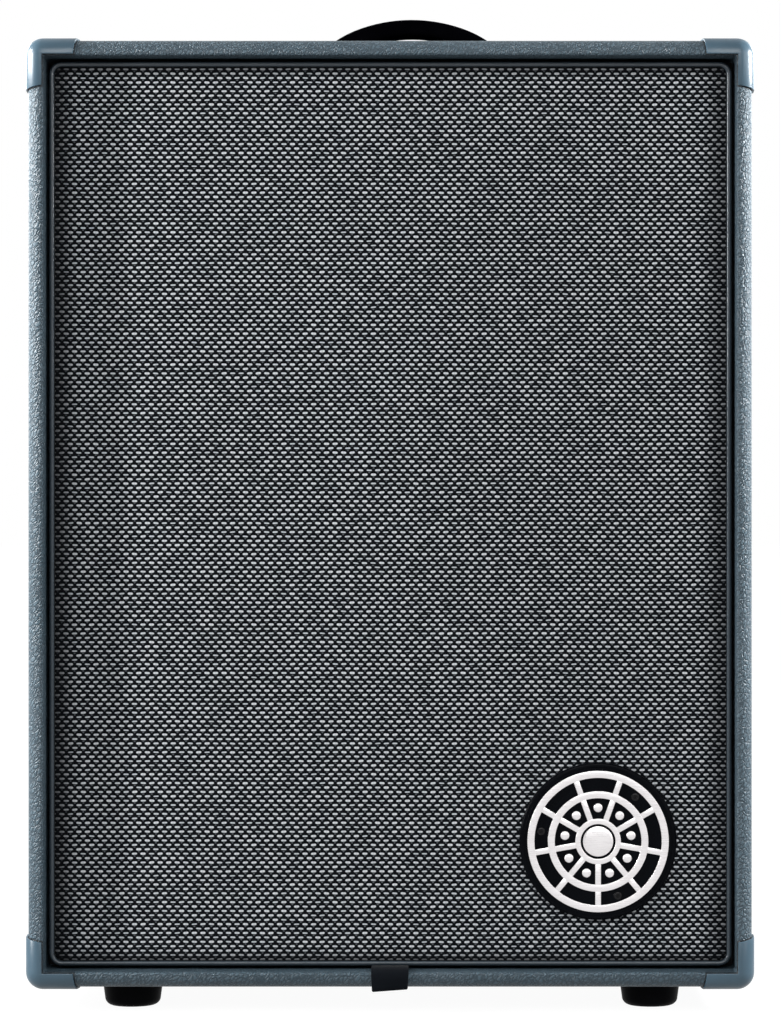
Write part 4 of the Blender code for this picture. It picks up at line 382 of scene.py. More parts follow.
def webbing_material():
    """Black webbing with the fine ribs of its weave."""
    g = Graph("webbing")
    place, x, y, z = g.place()
    ribs = g.math("SINE", g.times(x, 2 * math.pi / 0.0011))
    weft = g.math("SINE", g.times(g.plus(y, z), 2 * math.pi / 0.0009))
    weave = g.times(ribs, weft)
    colour = g.mix(g.ramp(weave, -1.0, 1.0), (0.0016, 0.0022, 0.0034), (0.0060, 0.0078, 0.0105))
    roughness = g.ramp(g.noise(place, 3000.0, 2.0), 0.3, 0.7, 0.55, 0.75)
    return g.finish(colour, roughness, g.bump(weave, 0.25, 0.0002), 0.02, Sheen_Weight=0.03)


def metal_material(name, low, high, roughness, scratch_axis=2):
    """Brushed or polished metal with fine lines across one axis."""
    g = Graph(name)
    stretch = [1.0, 1.0, 1.0]
    stretch[scratch_axis] = 40.0
    brushed = g.noise(g.vector("MULTIPLY", g.place()[0], stretch), 90.0, 4.0)
    shine = g.ramp(brushed, 0.3, 0.7, roughness - 0.05, roughness + 0.06)
    return g.finish(g.mix(brushed, low, high), shine, g.bump(brushed, 0.06, 0.0001), Metallic=1.0)


def plywood_material():
    """Birch plywood: long grain on the faces, with thin dark lines."""
    g = Graph("plywood")
    lines = g.vector("MULTIPLY", g.place()[0], (14.0, 3.0, 60.0))
    grain = g.noise(lines, 3.0, 5.0, 0.65)
    pores = g.noise(lines, 40.0, 2.0)
    colour = g.mix(g.ramp(grain, 0.3, 0.72), (0.36, 0.235, 0.125), (0.58, 0.42, 0.25))
    return g.finish(colour, g.ramp(pores, 0.3, 0.7, 0.62, 0.78), g.bump(pores, 0.2, 0.0003))


def cone_material():
    """Pressed fibre with a fine grain and a soft mottle."""
    g = Graph("cone_fibre")
    place = g.place()[0]
    fibres = g.noise(place, 700.0, 4.0, 0.7)
    colour = g.mix(g.noise(place, 60.0, 3.0), (0.011, 0.011, 0.012), (0.026, 0.026, 0.027))
    return g.finish(colour, g.ramp(fibres, 0.3, 0.7, 0.6, 0.8), g.bump(fibres, 0.35, 0.0004))


def circuit_material():
    """Green board with paler tracks."""
    g = Graph("circuit_board")
    cells = g.node("ShaderNodeTexVoronoi", {"Vector": g.place()[0], "Scale": 160.0}, distance="CHEBYCHEV")
    tracks = g.ramp(cells.outputs["Distance"], 0.30, 0.36)
    colour = g.mix(tracks, (0.010, 0.085, 0.032), (0.022, 0.150, 0.060))
    return g.finish(colour, g.ramp(tracks, 0.0, 1.0, 0.35, 0.5), g.bump(tracks, 0.2, 0.0001))


def print_material():
    """Pale ink, a little uneven."""
    g = Graph("panel_print")
    patch = g.noise(g.place()[0], 800.0, 2.0)
    colour = g.mix(patch, (0.62, 0.64, 0.65), (0.78, 0.79, 0.80))
    return g.finish(colour, g.ramp(patch, 0.3, 0.7, 0.5, 0.6))


MATERIALS = {
    "vinyl": vinyl_material(),
    "corner_plastic": corner_material(),
    "cloth": cloth_material(),
    "piping": piping_material(),
    "webbing": webbing_material(),
    "plywood": plywood_material(),
    "cone": cone_material(),
    "circuit": circuit_material(),
    "print": print_material(),
    "board_paint": grained_material(
        "board_paint", (0.008, 0.008, 0.009), (0.016, 0.016, 0.017), 0.62, 900.0, 0.4, 0.0004, 0.2,
    ),
    "rubber": grained_material(
        "rubber", (0.0014, 0.0015, 0.0019), (0.0028, 0.0030, 0.0038), 0.45, 1400.0, 0.3, specular=0.02,
    ),
    "strap": grained_material(
        "strap_rubber", (0.0004, 0.0004, 0.0007), (0.0010, 0.0010, 0.0015), 0.42, 1800.0, 0.15, specular=0.0,
    ),
    "plastic": grained_material(
        "black_plastic", (0.006, 0.006, 0.007), (0.011, 0.011, 0.012), 0.38, specular=0.25,
    ),
    "gloss_plastic": grained_material(
        "gloss_plastic", (0.003, 0.003, 0.004), (0.006, 0.006, 0.007), 0.20, 700.0, 0.05, specular=0.15,
    ),
    "badge_face": grained_material(
        "badge_face", (0.0012, 0.0016, 0.0026), (0.0020, 0.0026, 0.0038), 0.26, 1200.0, 0.05, specular=0.03,
    ),
    "black_screw": grained_material(
        "black_screw", (0.010, 0.010, 0.011), (0.018, 0.018, 0.019), 0.30, 900.0, 0.1, specular=0.35,
    ),
    "powder_coat": grained_material(
        "powder_coat", (0.008, 0.008, 0.009), (0.015, 0.015, 0.016), 0.48, 2200.0, 0.4, specular=0.3,
    ),
    "silver": metal_material("silver", (0.60, 0.58, 0.585), (0.70, 0.68, 0.685), 0.30),
    "steel": metal_material("steel", (0.48, 0.49, 0.50), (0.62, 0.63, 0.64), 0.32),
    "aluminium": metal_material("aluminium", (0.60, 0.61, 0.62), (0.74, 0.75, 0.76), 0.34, 0),
}


# Meshes

def mesh_from(name, bm):
    """The mesh of a bmesh, which is freed."""
    mesh = bpy.data.meshes.new(name)
    bm.to_mesh(mesh)
    bm.free()
    return mesh


def add_mesh(bm, mesh):
    """Moves a mesh into a bmesh."""
    bm.from_mesh(mesh)
    bpy.data.meshes.remove(mesh)
    return bm


def linked(name, data):
    """A new object in the scene."""
    obj = bpy.data.objects.new(name, data)
    bpy.context.scene.collection.objects.link(obj)
    return obj


def finished(name, bm, material, body, angle=35.0, node=None):
    """A piece from a bmesh: smooth but for its sharp edges, riding on a body, in place of a CAD node."""
    bmesh.ops.recalc_face_normals(bm, faces=bm.faces)
    mesh = mesh_from(name, bm)
    mesh.shade_smooth()
    mesh.set_sharp_from_angle(angle=math.radians(angle))
    mesh.materials.append(MATERIALS[material])
    obj = linked(name, mesh)
    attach(obj, body)
    if node:
        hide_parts(node)
    return obj


def node_centre(node):
    low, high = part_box(node)
    return (low + high) / 2


def quarter(steps):
    """Angles of a quarter turn, in radians."""
    return [math.pi / 2 * step / steps for step in range(steps + 1)]


def fillet(across, along, reach_across, reach_along, steps):
    """A quarter round at a corner, from its side at reach_along to its face at reach_across."""
    return [
        (across + reach_across * (1 - math.cos(angle)), along + reach_along * (1 - math.sin(angle)))
        for angle in quarter(steps)
    ]


def dome(radius, rise, base, steps):
    """The profile of a low dome that faces -Y, from its rim at base."""
    points = [(radius, base)]
    for angle in quarter(steps):
        points.append((radius * math.cos(angle) + AXIS_HOLE, base - rise * math.sin(angle)))
    return points


def rounded_ring(half_width, half_height, radius, steps):
    """A rounded rectangle's points about its middle, anticlockwise."""
    points = []
    corners = ((1, 1, 0.0), (-1, 1, 0.5), (-1, -1, 1.0), (1, -1, 1.5))
    for x_sign, y_sign, start in corners:
        for angle in quarter(steps):
            turn = start * math.pi + angle
            points.append((
                x_sign * (half_width - radius) + radius * math.cos(turn),
                y_sign * (half_height - radius) + radius * math.sin(turn),
            ))
    return points


def ring_at(y, half_width, half_height, radius, steps, x=0.0, z=MIDDLE_Z):
    """A rounded rectangle across Y, about a point."""
    ring = rounded_ring(half_width, half_height, radius, steps)
    return [Vector((x + across, y, z + up)) for across, up in ring]


def loft(bm, rings, wrap=False):
    """Skins a run of rings of the same count. It wraps round to the first ring, or is capped."""
    made = [[bm.verts.new(point) for point in ring] for ring in rings]
    pairs = list(zip(made, made[1:]))
    if wrap:
        pairs.append((made[-1], made[0]))
    for lower, upper in pairs:
        count = len(lower)
        for i in range(count):
            j = (i + 1) % count
            bm.faces.new((lower[i], lower[j], upper[j], upper[i]))
    if not wrap:
        bm.faces.new(made[0][::-1])
        bm.faces.new(made[-1])


def lathe(bm, profile, steps, place, direction="Y", closed=False):
    """Turns a profile of (radius, distance) about an axis through place, along +Y or +Z."""
    centre = Vector(place)
    rings = []
    for radius, along in profile:
        ring = []
        for step in range(steps):
            turn = 2 * math.pi * step / steps
            across, up = radius * math.cos(turn), radius * math.sin(turn)
            point = (across, along, up) if direction == "Y" else (across, up, along)
            ring.append(centre + Vector(point))
        rings.append(ring)
    loft(bm, rings, wrap=closed)


def bar(bm, radius, start, end, x, z, steps=48):
    """A round bar along Y between two depths."""
    lathe(bm, [(radius, start), (radius, end)], steps, (x, 0.0, z))


def block(bm, low, high, edge=0.0):
    """A block between two corners, with its edges rounded."""
    low, high = Vector(low), Vector(high)
    made = bmesh.ops.create_cube(bm, size=1.0)["verts"]
    bmesh.ops.scale(bm, vec=high - low, verts=made)
    bmesh.ops.translate(bm, vec=(low + high) / 2, verts=made)
    if edge:
        soften(bm, {item for vert in made for item in vert.link_edges}, edge)


def soften(bm, edges, width):
    bmesh.ops.bevel(
        bm, geom=list(edges), offset=width, offset_type="OFFSET", segments=2, profile=0.5,
        affect="EDGES", clamp_overlap=True,
    )


def plate(bm, low, high, radius, edge, facing=1):
    """A plate across Y with rounded corners. The face towards facing is softened along its edges."""
    middle_x, half_x = (low[0] + high[0]) / 2, (high[0] - low[0]) / 2
    middle_z, half_z = (low[2] + high[2]) / 2, (high[2] - low[2]) / 2
    face_y, back_y = (high[1], low[1]) if facing > 0 else (low[1], high[1])
    sections = [(0.0, back_y)] + fillet(0.0, face_y, edge, -facing * edge, 3)
    loft(bm, [
        ring_at(y, half_x - inset, half_z - inset, max(radius - inset, 0.0002), 6, middle_x, middle_z)
        for inset, y in sections
    ])


def turn_new(bm, before, centre, angle):
    """Turns the vertices made since before about the axis along Y through centre."""
    made = [vert for vert in bm.verts if vert not in before]
    bmesh.ops.rotate(bm, cent=centre, matrix=Matrix.Rotation(angle, 3, "Y"), verts=made)


def helper(name, bm):
    """A hidden operand of a Boolean."""
    bmesh.ops.recalc_face_normals(bm, faces=bm.faces)
    return linked(name, mesh_from(name, bm))


def apply_booleans(base, steps):
    """The mesh of base after each (operation, other) step. The helpers are removed."""
    for operation, other in steps:
        modifier = base.modifiers.new(operation, "BOOLEAN")
        modifier.operation = operation
        modifier.object = other
        modifier.solver = "EXACT"
    graph = bpy.context.evaluated_depsgraph_get()
    mesh = bpy.data.meshes.new_from_object(base.evaluated_get(graph))
    for obj in [base] + [other for _, other in steps]:
        bpy.data.objects.remove(obj, do_unlink=True)
    return mesh


def cut(base, cutter):
    """The bmesh of base less cutter."""
    mesh = apply_booleans(helper("base", base), (("DIFFERENCE", helper("cutter", cutter)),))
    return add_mesh(bmesh.new(), mesh)


def add_screw(bm, place, radius, facing):
    """A low domed screw head with a cross recess. It faces -Y or +Y."""
    x, y, z = place
    rise = radius * 0.22
    profile = [(radius, -0.0002 * facing)]
    for angle in quarter(4):
        profile.append((radius * (0.62 + 0.38 * math.cos(angle)), facing * rise * math.sin(angle)))
    floor = facing * rise * 0.2
    profile += [(radius * 0.42, facing * rise), (radius * 0.30, floor), (AXIS_HOLE, floor)]
    lathe(bm, profile, 28, place)
    arm = radius * 0.46
    for half_x, half_z in ((arm, arm * 0.24), (arm * 0.24, arm)):
        near, far = sorted((y + floor, y + facing * rise * 0.55))
        block(bm, (x - half_x, near, z - half_z), (x + half_x, far, z + half_z))


def make_screws(name, places, radius, material, body, facing):
    bm = bmesh.new()
    for place in places:
        add_screw(bm, place, radius, facing)
    finished(name, bm, material, body)


# Stage, light and camera

def make_floor():
    """A pale floor that the camera sees as white, with the object's shadow kept faint."""
    g = Graph("floor")
    g.tree.nodes.remove(g.shader)
    spot = g.place()[0]
    tint = g.mix(g.noise(spot, 30.0, 2.0), (0.17, 0.17, 0.17), (0.20, 0.20, 0.20))
    diffuse = g.node("ShaderNodeBsdfDiffuse", {"Color": tint})
    dimmed = g.node("ShaderNodeBsdfDiffuse", {"Color": (0.08, 0.08, 0.08, 1.0)})
    away = g.node("ShaderNodeVectorMath", {0: spot}, operation="LENGTH").outputs["Value"]
    strength = g.ramp(away, 0.30, 0.90, 0.955, 1.0)
    glow = g.node("ShaderNodeEmission", {"Color": (1.0, 1.0, 1.0, 1.0), "Strength": strength})
    shown = g.node("ShaderNodeAddShader", {0: dimmed.outputs[0], 1: glow.outputs[0]})
    shaders = {0: g.background_rays(), 1: diffuse.outputs[0], 2: shown.outputs[0]}
    g.put(g.output.inputs["Surface"], g.node("ShaderNodeMixShader", shaders).outputs[0])
    bm = bmesh.new()
    half = 30.0
    corners = ((-half, -half), (half, -half), (half, half), (-half, half))
    bm.faces.new([bm.verts.new((x, y, 0.0)) for x, y in corners])
    mesh = mesh_from("floor", bm)
    mesh.materials.append(g.material)
    linked("floor", mesh)


def make_world():
    """A weak cool ambient light, with white for what the camera and reflections see."""
    world = bpy.data.worlds.new("studio")
    world.use_nodes = True
    bpy.context.scene.world = world
    g = Nodes(world.node_tree)
    g.tree.nodes.clear()
    ambient = g.node("ShaderNodeBackground", {"Color": (0.92, 0.96, 1.0, 1.0), "Strength": 0.16})
    white = g.node("ShaderNodeBackground", {"Color": (1.0, 1.0, 1.0, 1.0), "Strength": 1.0})
    shaders = {0: g.background_rays(), 1: ambient.outputs[0], 2: white.outputs[0]}
    mixed = g.node("ShaderNodeMixShader", shaders)
    g.node("ShaderNodeOutputWorld", {"Surface": mixed.outputs[0]})


def softbox(name, place, target, size, power):
    light = bpy.data.lights.new(name, "AREA")
    light.shape = "RECTANGLE"
    light.size, light.size_y = size
    light.energy = power
    obj = linked(name, light)
    obj.location = place
    obj.rotation_euler = (Vector(target) - Vector(place)).to_track_quat("-Z", "Y").to_euler()


def make_lights():
    centre = (0.0, 0.0, MIDDLE_Z)
    softbox("front_box", (0.1, -2.8, 1.5), centre, (1.6, 1.2), 38.0)
    softbox("left_strip", (-2.04, -0.80, 0.76), centre, (0.14, 0.60), 46.0)
    softbox("right_key", (1.9, -1.75, 1.05), centre, (0.9, 1.2), 13.0)
    softbox("left_side", (-1.0, -0.15, 0.80), (-0.2, -0.2, 0.75), (0.26, 0.32), 26.0)
    softbox("right_side", (1.0, -0.15, 0.72), (0.2, -0.2, 0.66), (0.26, 0.32), 29.0)
    softbox("top_box", (0.0, 0.5, 2.4), centre, (2.0, 1.6), 2.5)
    softbox("back_box_left", (-1.7, 2.2, 1.2), centre, (1.0, 1.2), 40.0)
    softbox("back_box_right", (1.7, 2.2, 1.2), centre, (1.0, 1.2), 30.0)


def make_camera():
    camera = bpy.data.cameras.new("camera")
    camera.sensor_fit = "VERTICAL"
    camera.sensor_height = SENSOR_HEIGHT
    camera.lens = SENSOR_HEIGHT * CAMERA_DISTANCE / VIEW_HEIGHT
    camera.shift_x = (VIEW_CENTRE_X - CAMERA_X) / VIEW_HEIGHT
    obj = linked("camera", camera)
    obj.location = (CAMERA_X, FRONT - CAMERA_DISTANCE, MIDDLE_Z + VIEW_CENTRE_RISE)
    obj.rotation_euler = (math.pi / 2, 0.0, 0.0)
    bpy.context.scene.camera = obj


# Cabinet

def cabinet_ring(inset, y, radius):
    return ring_at(y, CABINET_WIDTH / 2 - inset, CABINET_HEIGHT / 2 - inset, radius, FINE)


def make_skin():
    """The covering: its lips and rims are rounded, and it turns in at the front and the back."""
    front_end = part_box("baffle_board")[0].y - GAP
    rear_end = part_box("back_panel")[1].y + GAP
    profile = [(LIP_WIDTH, front_end)]
    profile += fillet(LIP_WIDTH, FRONT, -LIP_EDGE, LIP_EDGE, 4)
    profile += fillet(0.0, FRONT, RIM_RADIUS, RIM_RADIUS, FINE)[::-1]
    profile += fillet(0.0, REAR, RIM_RADIUS, -RIM_RADIUS, FINE)
    profile += fillet(LIP_WIDTH, REAR, -LIP_EDGE, -LIP_EDGE, 4)[::-1]
    hidden = LIP_WIDTH - SKIN
    profile += [
        (LIP_WIDTH, rear_end), (hidden, rear_end), (hidden, REAR - 2 * SKIN),
        (RIM_RADIUS, REAR - 2 * SKIN), (2 * SKIN, REAR - RIM_RADIUS), (2 * SKIN, FRONT + RIM_RADIUS),
        (RIM_RADIUS, FRONT + 2 * SKIN), (hidden, FRONT + 2 * SKIN), (hidden, front_end),
    ]
    rings = [cabinet_ring(inset, y, max(LONG_EDGE_RADIUS - inset, RECESS_RADIUS)) for inset, y in profile]
    bm = bmesh.new()
    loft(bm, rings, wrap=True)
    finished("cabinet_skin", bm, "vinyl", "cabinet", 50.0, "vinyl_covering")


def cabinet_solid(grow):
    """The cabinet's rounded form, moved out by grow."""
    rim = RIM_RADIUS + grow
    profile = fillet(-grow, FRONT - grow, rim, rim, FINE)[::-1] + fillet(-grow, REAR + grow, rim, -rim, FINE)
    bm = bmesh.new()
    loft(bm, [cabinet_ring(inset, y, LONG_EDGE_RADIUS - inset) for inset, y in profile])
    return bm


def protector_region():
    """The space that one protector fills, at the cabinet's front, top and right corner."""
    reach = 2 * PROTECTOR_DIAGONAL
    bm = bmesh.new()
    block(bm, (-reach, -reach, -reach), (reach, reach, reach))
    planes = (
        ((0, 0, -PROTECTOR_DROP), (-PROTECTOR_DROP_TAPER, -PROTECTOR_FLARE, -1.0)),
        ((-PROTECTOR_LEG, 0, 0), (-1.0, -PROTECTOR_FLARE, -PROTECTOR_TAPER)),
        ((0, PROTECTOR_DEPTH, 0), (PROTECTOR_DEPTH_TAPER, 1.0, PROTECTOR_DEPTH_TAPER)),
        ((0, PROTECTOR_DIAGONAL, 0), (0.0, 1.0, -1.0)),
        ((0, PROTECTOR_DIAGONAL, 0), (-1.0, 1.0, 0.0)),
    )
    for point, normal in planes:
        everything = list(bm.verts) + list(bm.edges) + list(bm.faces)
        sliced = bmesh.ops.bisect_plane(
            bm, geom=everything, plane_co=point, plane_no=normal, clear_outer=True,
        )
        rim = [item for item in sliced["geom_cut"] if isinstance(item, bmesh.types.BMEdge)]
        bmesh.ops.contextual_create(bm, geom=rim)
    bmesh.ops.translate(bm, vec=(CABINET_WIDTH / 2, FRONT, TOP), verts=bm.verts)
    return bm


def make_protectors():
    """One moulded corner with softened edges, and its seven mirror images."""
    mouth = bmesh.new()
    half_width = CABINET_WIDTH / 2 - PROTECTOR_LIP_COVER
    half_height = CABINET_HEIGHT / 2 - PROTECTOR_LIP_COVER
    block(mouth, (-half_width, FRONT - LIP_WIDTH, MIDDLE_Z - half_height),
          (half_width, 0.0, MIDDLE_Z + half_height))
    shape = apply_booleans(helper("corner_outer", cabinet_solid(GAP + PROTECTOR_THICKNESS)), (
        ("INTERSECT", helper("corner_region", protector_region())),
        ("DIFFERENCE", helper("corner_inner", cabinet_solid(0.0001))),
        ("DIFFERENCE", helper("corner_mouth", mouth)),
    ))
    bm = add_mesh(bmesh.new(), shape)
    bmesh.ops.remove_doubles(bm, verts=bm.verts, dist=1e-5)
    sharp = [edge for edge in bm.edges if edge.is_manifold and edge.calc_face_angle() > math.radians(55)]
    soften(bm, sharp, PROTECTOR_EDGE)
    pattern = mesh_from("corner_pattern", bm)
    for y_name, y_sign in (("front", 1), ("rear", -1)):
        for z_name, z_sign in (("top", 1), ("bottom", -1)):
            for x_name, x_sign in (("left", -1), ("right", 1)):
                bm = bmesh.new()
                bm.from_mesh(pattern)
                bmesh.ops.translate(bm, vec=(0, 0, -MIDDLE_Z), verts=bm.verts)
                bmesh.ops.scale(bm, vec=(x_sign, y_sign, z_sign), verts=bm.verts)
                bmesh.ops.translate(bm, vec=(0, 0, MIDDLE_Z), verts=bm.verts)
                where = f"{y_name}_{z_name}_{x_name}"
                finished(
                    f"corner_{where}", bm, "corner_plastic", "cabinet", 40.0,
                    f"corner_protector_{where}",
                )


# Grille

def make_cloth():
    """The stretched cloth: a thin sheet that bows a little over the frame's edge."""
    low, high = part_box("grille_cloth")
    half_width = (high.x - low.x) / 2
    half_height = (high.z - low.z) / 2
    bm = bmesh.new()
    loft(bm, [
        ring_at(y, half_width - inset, half_height - inset, CLOTH_CORNER - inset, 6)
        for inset, y in ((0.0, high.y), (0.0, low.y + 0.0005), (0.0003, low.y + 0.0001), (0.0012, low.y))
    ])
    cloth = finished("cloth", bm, "cloth", "grille", 50.0, "grille_cloth")


def make_piping():
    """A round cord round the grille's front edge."""
    low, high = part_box("grille_piping")
    radius = (high.y - low.y) / 2
    steps = 20
    rings = []
    for step in range(steps):
        turn = 2 * math.pi * step / steps
        inset = radius - radius * math.cos(turn)
        rings.append(ring_at(
            (low.y + high.y) / 2 - radius * math.sin(turn), (high.x - low.x) / 2 - inset,
            (high.z - low.z) / 2 - inset, PIPING_CORNER - inset, FINE,
        ))
    bm = bmesh.new()
    loft(bm, rings, wrap=True)
    finished("piping", bm, "piping", "grille", 60.0, "grille_piping")


def ring_profile(inner, outer, front, back, edge):
    """A closed ring section with its front edges rounded, as (radius, distance)."""
    inner_edge = fillet(inner, front, edge, edge, 3)
    outer_edge = fillet(outer, front, -edge, edge, 3)[::-1]
    return [(inner, back)] + inner_edge + outer_edge + [(outer, back)]


def make_badge():
    """A black disc with a silver wheel on it and three sunken screws."""
    low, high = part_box("grille_badge")
    middle = node_centre("grille_badge")
    place = (middle.x, 0.0, middle.z)
    radius = (high.x - low.x) / 2
    face = low.y + BADGE_SINK
    rim = radius - BADGE_EDGE - 0.0012
    profile = [(0.0001, high.y), (radius - 0.0003, high.y), (radius, high.y - 0.0003)]
    profile += fillet(radius, low.y, -BADGE_EDGE, BADGE_EDGE, 6)
    profile += [(rim, low.y), (rim - BADGE_SINK, face), (0.0001, face)]
    bm = bmesh.new()
    lathe(bm, profile, ROUND, place)
    finished("badge_disc", bm, "badge_face", "grille", 30.0, "grille_badge")
    make_badge_wheel(place, low.y + 0.0002)
    screws = []
    for degrees in BADGE_SCREW_ANGLES:
        turn = math.radians(degrees)
        across, up = BADGE_SCREW_CIRCLE * math.cos(turn), BADGE_SCREW_CIRCLE * math.sin(turn)
        screws.append((middle.x + across, face, middle.z + up))
    make_screws("badge_screws", screws, 0.0026, "gloss_plastic", "grille", -1)


def make_badge_wheel(place, back):
    """Three rings round a domed hub, with spokes between them and a stud between each two spokes."""
    low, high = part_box("badge_inlay")
    front, outer = low.y, (high.x - low.x) / 2
    x, _, z = place
    bm = bmesh.new()
    for inner_radius, outer_radius in ((outer - OUTER_RING_WIDTH, outer), MIDDLE_RING, HUB_RING):
        lathe(bm, ring_profile(inner_radius, outer_radius, front, back, 0.00025), ROUND, place, closed=True)
    lathe(bm, dome(HUB_RADIUS, HUB_RISE, back, 5), ROUND // 2, place)
    for index in range(BADGE_SPOKES):
        turn = 2 * math.pi * index / BADGE_SPOKES
        for start, end in (INNER_SPOKE, (OUTER_SPOKE_START, outer - 0.0035)):
            before = set(bm.verts)
            left, right = x - SPOKE_HALF_WIDTH, x + SPOKE_HALF_WIDTH
            block(bm, (left, front + 0.0001, z - end), (right, back, z - start), 0.0002)
            turn_new(bm, before, place, turn)
        before = set(bm.verts)
        lathe(bm, dome(STUD_RADIUS, STUD_RISE, back, 4), 20, (x, 0.0, z - STUD_CIRCLE))
        turn_new(bm, before, place, turn + math.pi / BADGE_SPOKES)
    finished("badge_wheel", bm, "silver", "grille", 40.0, "badge_inlay")


def make_tab():
    """Webbing that comes out under the grille and hangs a little askew over the lip."""
    low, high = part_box("pull_tab")
    wall_z = BOTTOM + LIP_WIDTH
    half = (high.x - low.x) / 2
    thickness = 0.0023
    hang = low.y + 0.0012 - FRONT
    end = low.z - wall_z
    route = (                     # behind the front, above the recess's lower wall, thickness
        (high.y - FRONT, 0.00065, 0.0006), (0.0145, 0.00070, 0.0007), (0.0115, 0.0019, 0.0021),
        (0.0075, 0.0020, thickness), (0.0032, 0.0017, thickness), (0.0002, 0.0006, thickness),
        (-0.0014, -0.0014, thickness), (hang, -0.0045, thickness), (hang, -0.0090, thickness),
        (hang, end + 0.0008, 0.0021), (hang, end, 0.0012),
    )
    rings = []
    last = len(route) - 1
    for index, (behind, above, thick) in enumerate(route):
        before, after = route[max(index - 1, 0)], route[min(index + 1, last)]
        along = Vector((0.0, after[0] - before[0], after[1] - before[1])).normalized()
        out = along.cross(Vector((1.0, 0.0, 0.0)))
        fall = max(0.0, -above / 0.014)
        width = half - 0.0006 * fall - (0.0005 if index == last else 0.0)
        ring = []
        for across, up in rounded_ring(width, thick / 2, min(thick / 2 - 0.00002, 0.0006), 3):
            point = Vector((across, FRONT + behind, wall_z + above)) + out * up
            point.z += 0.0010 * fall * (1.0 + across / half)
            ring.append(point)
        rings.append(ring)
    bm = bmesh.new()
    loft(bm, rings)
    finished("tab", bm, "webbing", "grille", 40.0, "pull_tab")


# Handle and feet

def handle_line():
    """Half of the strap's middle line as (x from its middle, z, thickness)."""
    low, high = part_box("handle_strap")
    end_z = low.z + STRAP_END_THICKNESS / 2
    arch_z = high.z - STRAP_THICKNESS / 2 - STRAP_ARCH
    drop = end_z + STRAP_FLARE - arch_z
    flare_x = math.sqrt((STRAP_ARCH + STRAP_FLARE) ** 2 - drop ** 2)
    lean = math.asin(flare_x / (STRAP_ARCH + STRAP_FLARE))
    line = []
    for step in range(15):
        angle = lean * step / 14
        line.append((STRAP_ARCH * math.sin(angle), arch_z + STRAP_ARCH * math.cos(angle)))
    for step in range(1, 9):
        angle = lean * (1 - step / 8)
        line.append((flare_x - STRAP_FLARE * math.sin(angle), end_z + STRAP_FLARE * (1 - math.cos(angle))))
    line.append(((high.x - low.x) / 2, end_z))
    points = []
    for x, z in line:
        share = min(max((x / flare_x - 0.45) / 0.55, 0.0), 1.0)
        ease = share * share * (3 - 2 * share)
        points.append((x, z, STRAP_THICKNESS + (STRAP_END_THICKNESS - STRAP_THICKNESS) * ease))
    return points


def make_handle():
    """The moulded strap, rounded along its edges, and its two end caps."""
    low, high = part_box("handle_strap")
    middle_x = (low.x + high.x) / 2
    half_width = (high.y - low.y) / 2
    half = handle_line()
    whole = [(-x, z, t) for x, z, t in reversed(half[1:])] + half
    rings = []
    for index, (x, z, thick) in enumerate(whole):
        x0, z0, _ = whole[max(index - 1, 0)]
        x1, z1, _ = whole[min(index + 1, len(whole) - 1)]
        along = Vector((x1 - x0, 0.0, z1 - z0)).normalized()
        up = Vector((-along.z, 0.0, along.x))
        ring = rounded_ring(half_width, thick / 2, min(thick * 0.3, 0.0032), 6)
        rings.append([Vector((middle_x + x, a, z)) + up * b for a, b in ring])
    bm = bmesh.new()
    loft(bm, rings)
    finished("strap", bm, "strap", "cabinet", 50.0, "handle_strap")
    for side, sign in (("left", -1), ("right", 1)):
        make_end_cap(side, sign)


def make_end_cap(side, sign):
    """A cap that slopes down to its outer end, with the strap's mouth in its inner end."""
    low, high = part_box(f"handle_end_cap_{side}")
    strap_low, strap_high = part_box("handle_strap")
    strap_end = strap_high.x if sign > 0 else strap_low.x
    outer_x, inner_x = (high.x, low.x) if sign > 0 else (low.x, high.x)
    half = (high.y - low.y) / 2
    rise = high.z - low.z
    stations = (                  # place along the strap, share of the height, inset of the sides
        (outer_x, 0.35, 0.0045), (outer_x - sign * 0.0006, 0.55, 0.0010),
        (outer_x - sign * 0.004, 0.78, 0.0), (outer_x - sign * 0.012, 0.96, 0.0), (strap_end, 1.0, 0.0),
        (inner_x + sign * 0.0008, 1.0, 0.0), (inner_x, 0.95, 0.0008),
    )
    rings = []
    for x, share, inset in stations:
        height = rise * share
        ring = rounded_ring(half - inset, height / 2, min(0.0022, height * 0.3), 4)
        rings.append([Vector((x, a, low.z + height / 2 + b)) for a, b in ring])
    mouth = rounded_ring((strap_high.y - strap_low.y) / 2 + GAP, 0.0028, 0.0006, 4)
    for x in (inner_x, inner_x + sign * 0.018):
        rings.append([Vector((x, a, strap_low.z + STRAP_END_THICKNESS / 2 + b)) for a, b in mouth])
    bm = bmesh.new()
    loft(bm, rings)
    finished(f"end_cap_{side}", bm, "plastic", "cabinet", 40.0, f"handle_end_cap_{side}")


def make_feet():
    """Turned rubber feet, tapering to a rounded base with a sunken screw hole."""
    for y_name in ("front", "rear"):
        for x_name in ("left", "right"):
            node = f"foot_{y_name}_{x_name}"
            low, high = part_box(node)
            radius = (high.x - low.x) / 2
            height = high.z - low.z
            profile = [(0.0001, height), (radius - 0.0006, height), (radius, height - 0.0006)]
            profile += fillet(FOOT_BASE_RADIUS, 0.0, -FOOT_EDGE, FOOT_EDGE, 6)
            profile += [
                (FOOT_SCREW_HOLE + 0.0010, 0.0), (FOOT_SCREW_HOLE + 0.0004, 0.0006),
                (FOOT_SCREW_HOLE, FOOT_SCREW_DEPTH), (0.0001, FOOT_SCREW_DEPTH),
            ]
            bm = bmesh.new()
            centre = node_centre(node)
            lathe(bm, profile, ROUND // 2, (centre.x, centre.y, low.z), "Z")
            finished(f"rubber_foot_{y_name}_{x_name}", bm, "rubber", "cabinet", 40.0, node)


# Woofers, horn and port

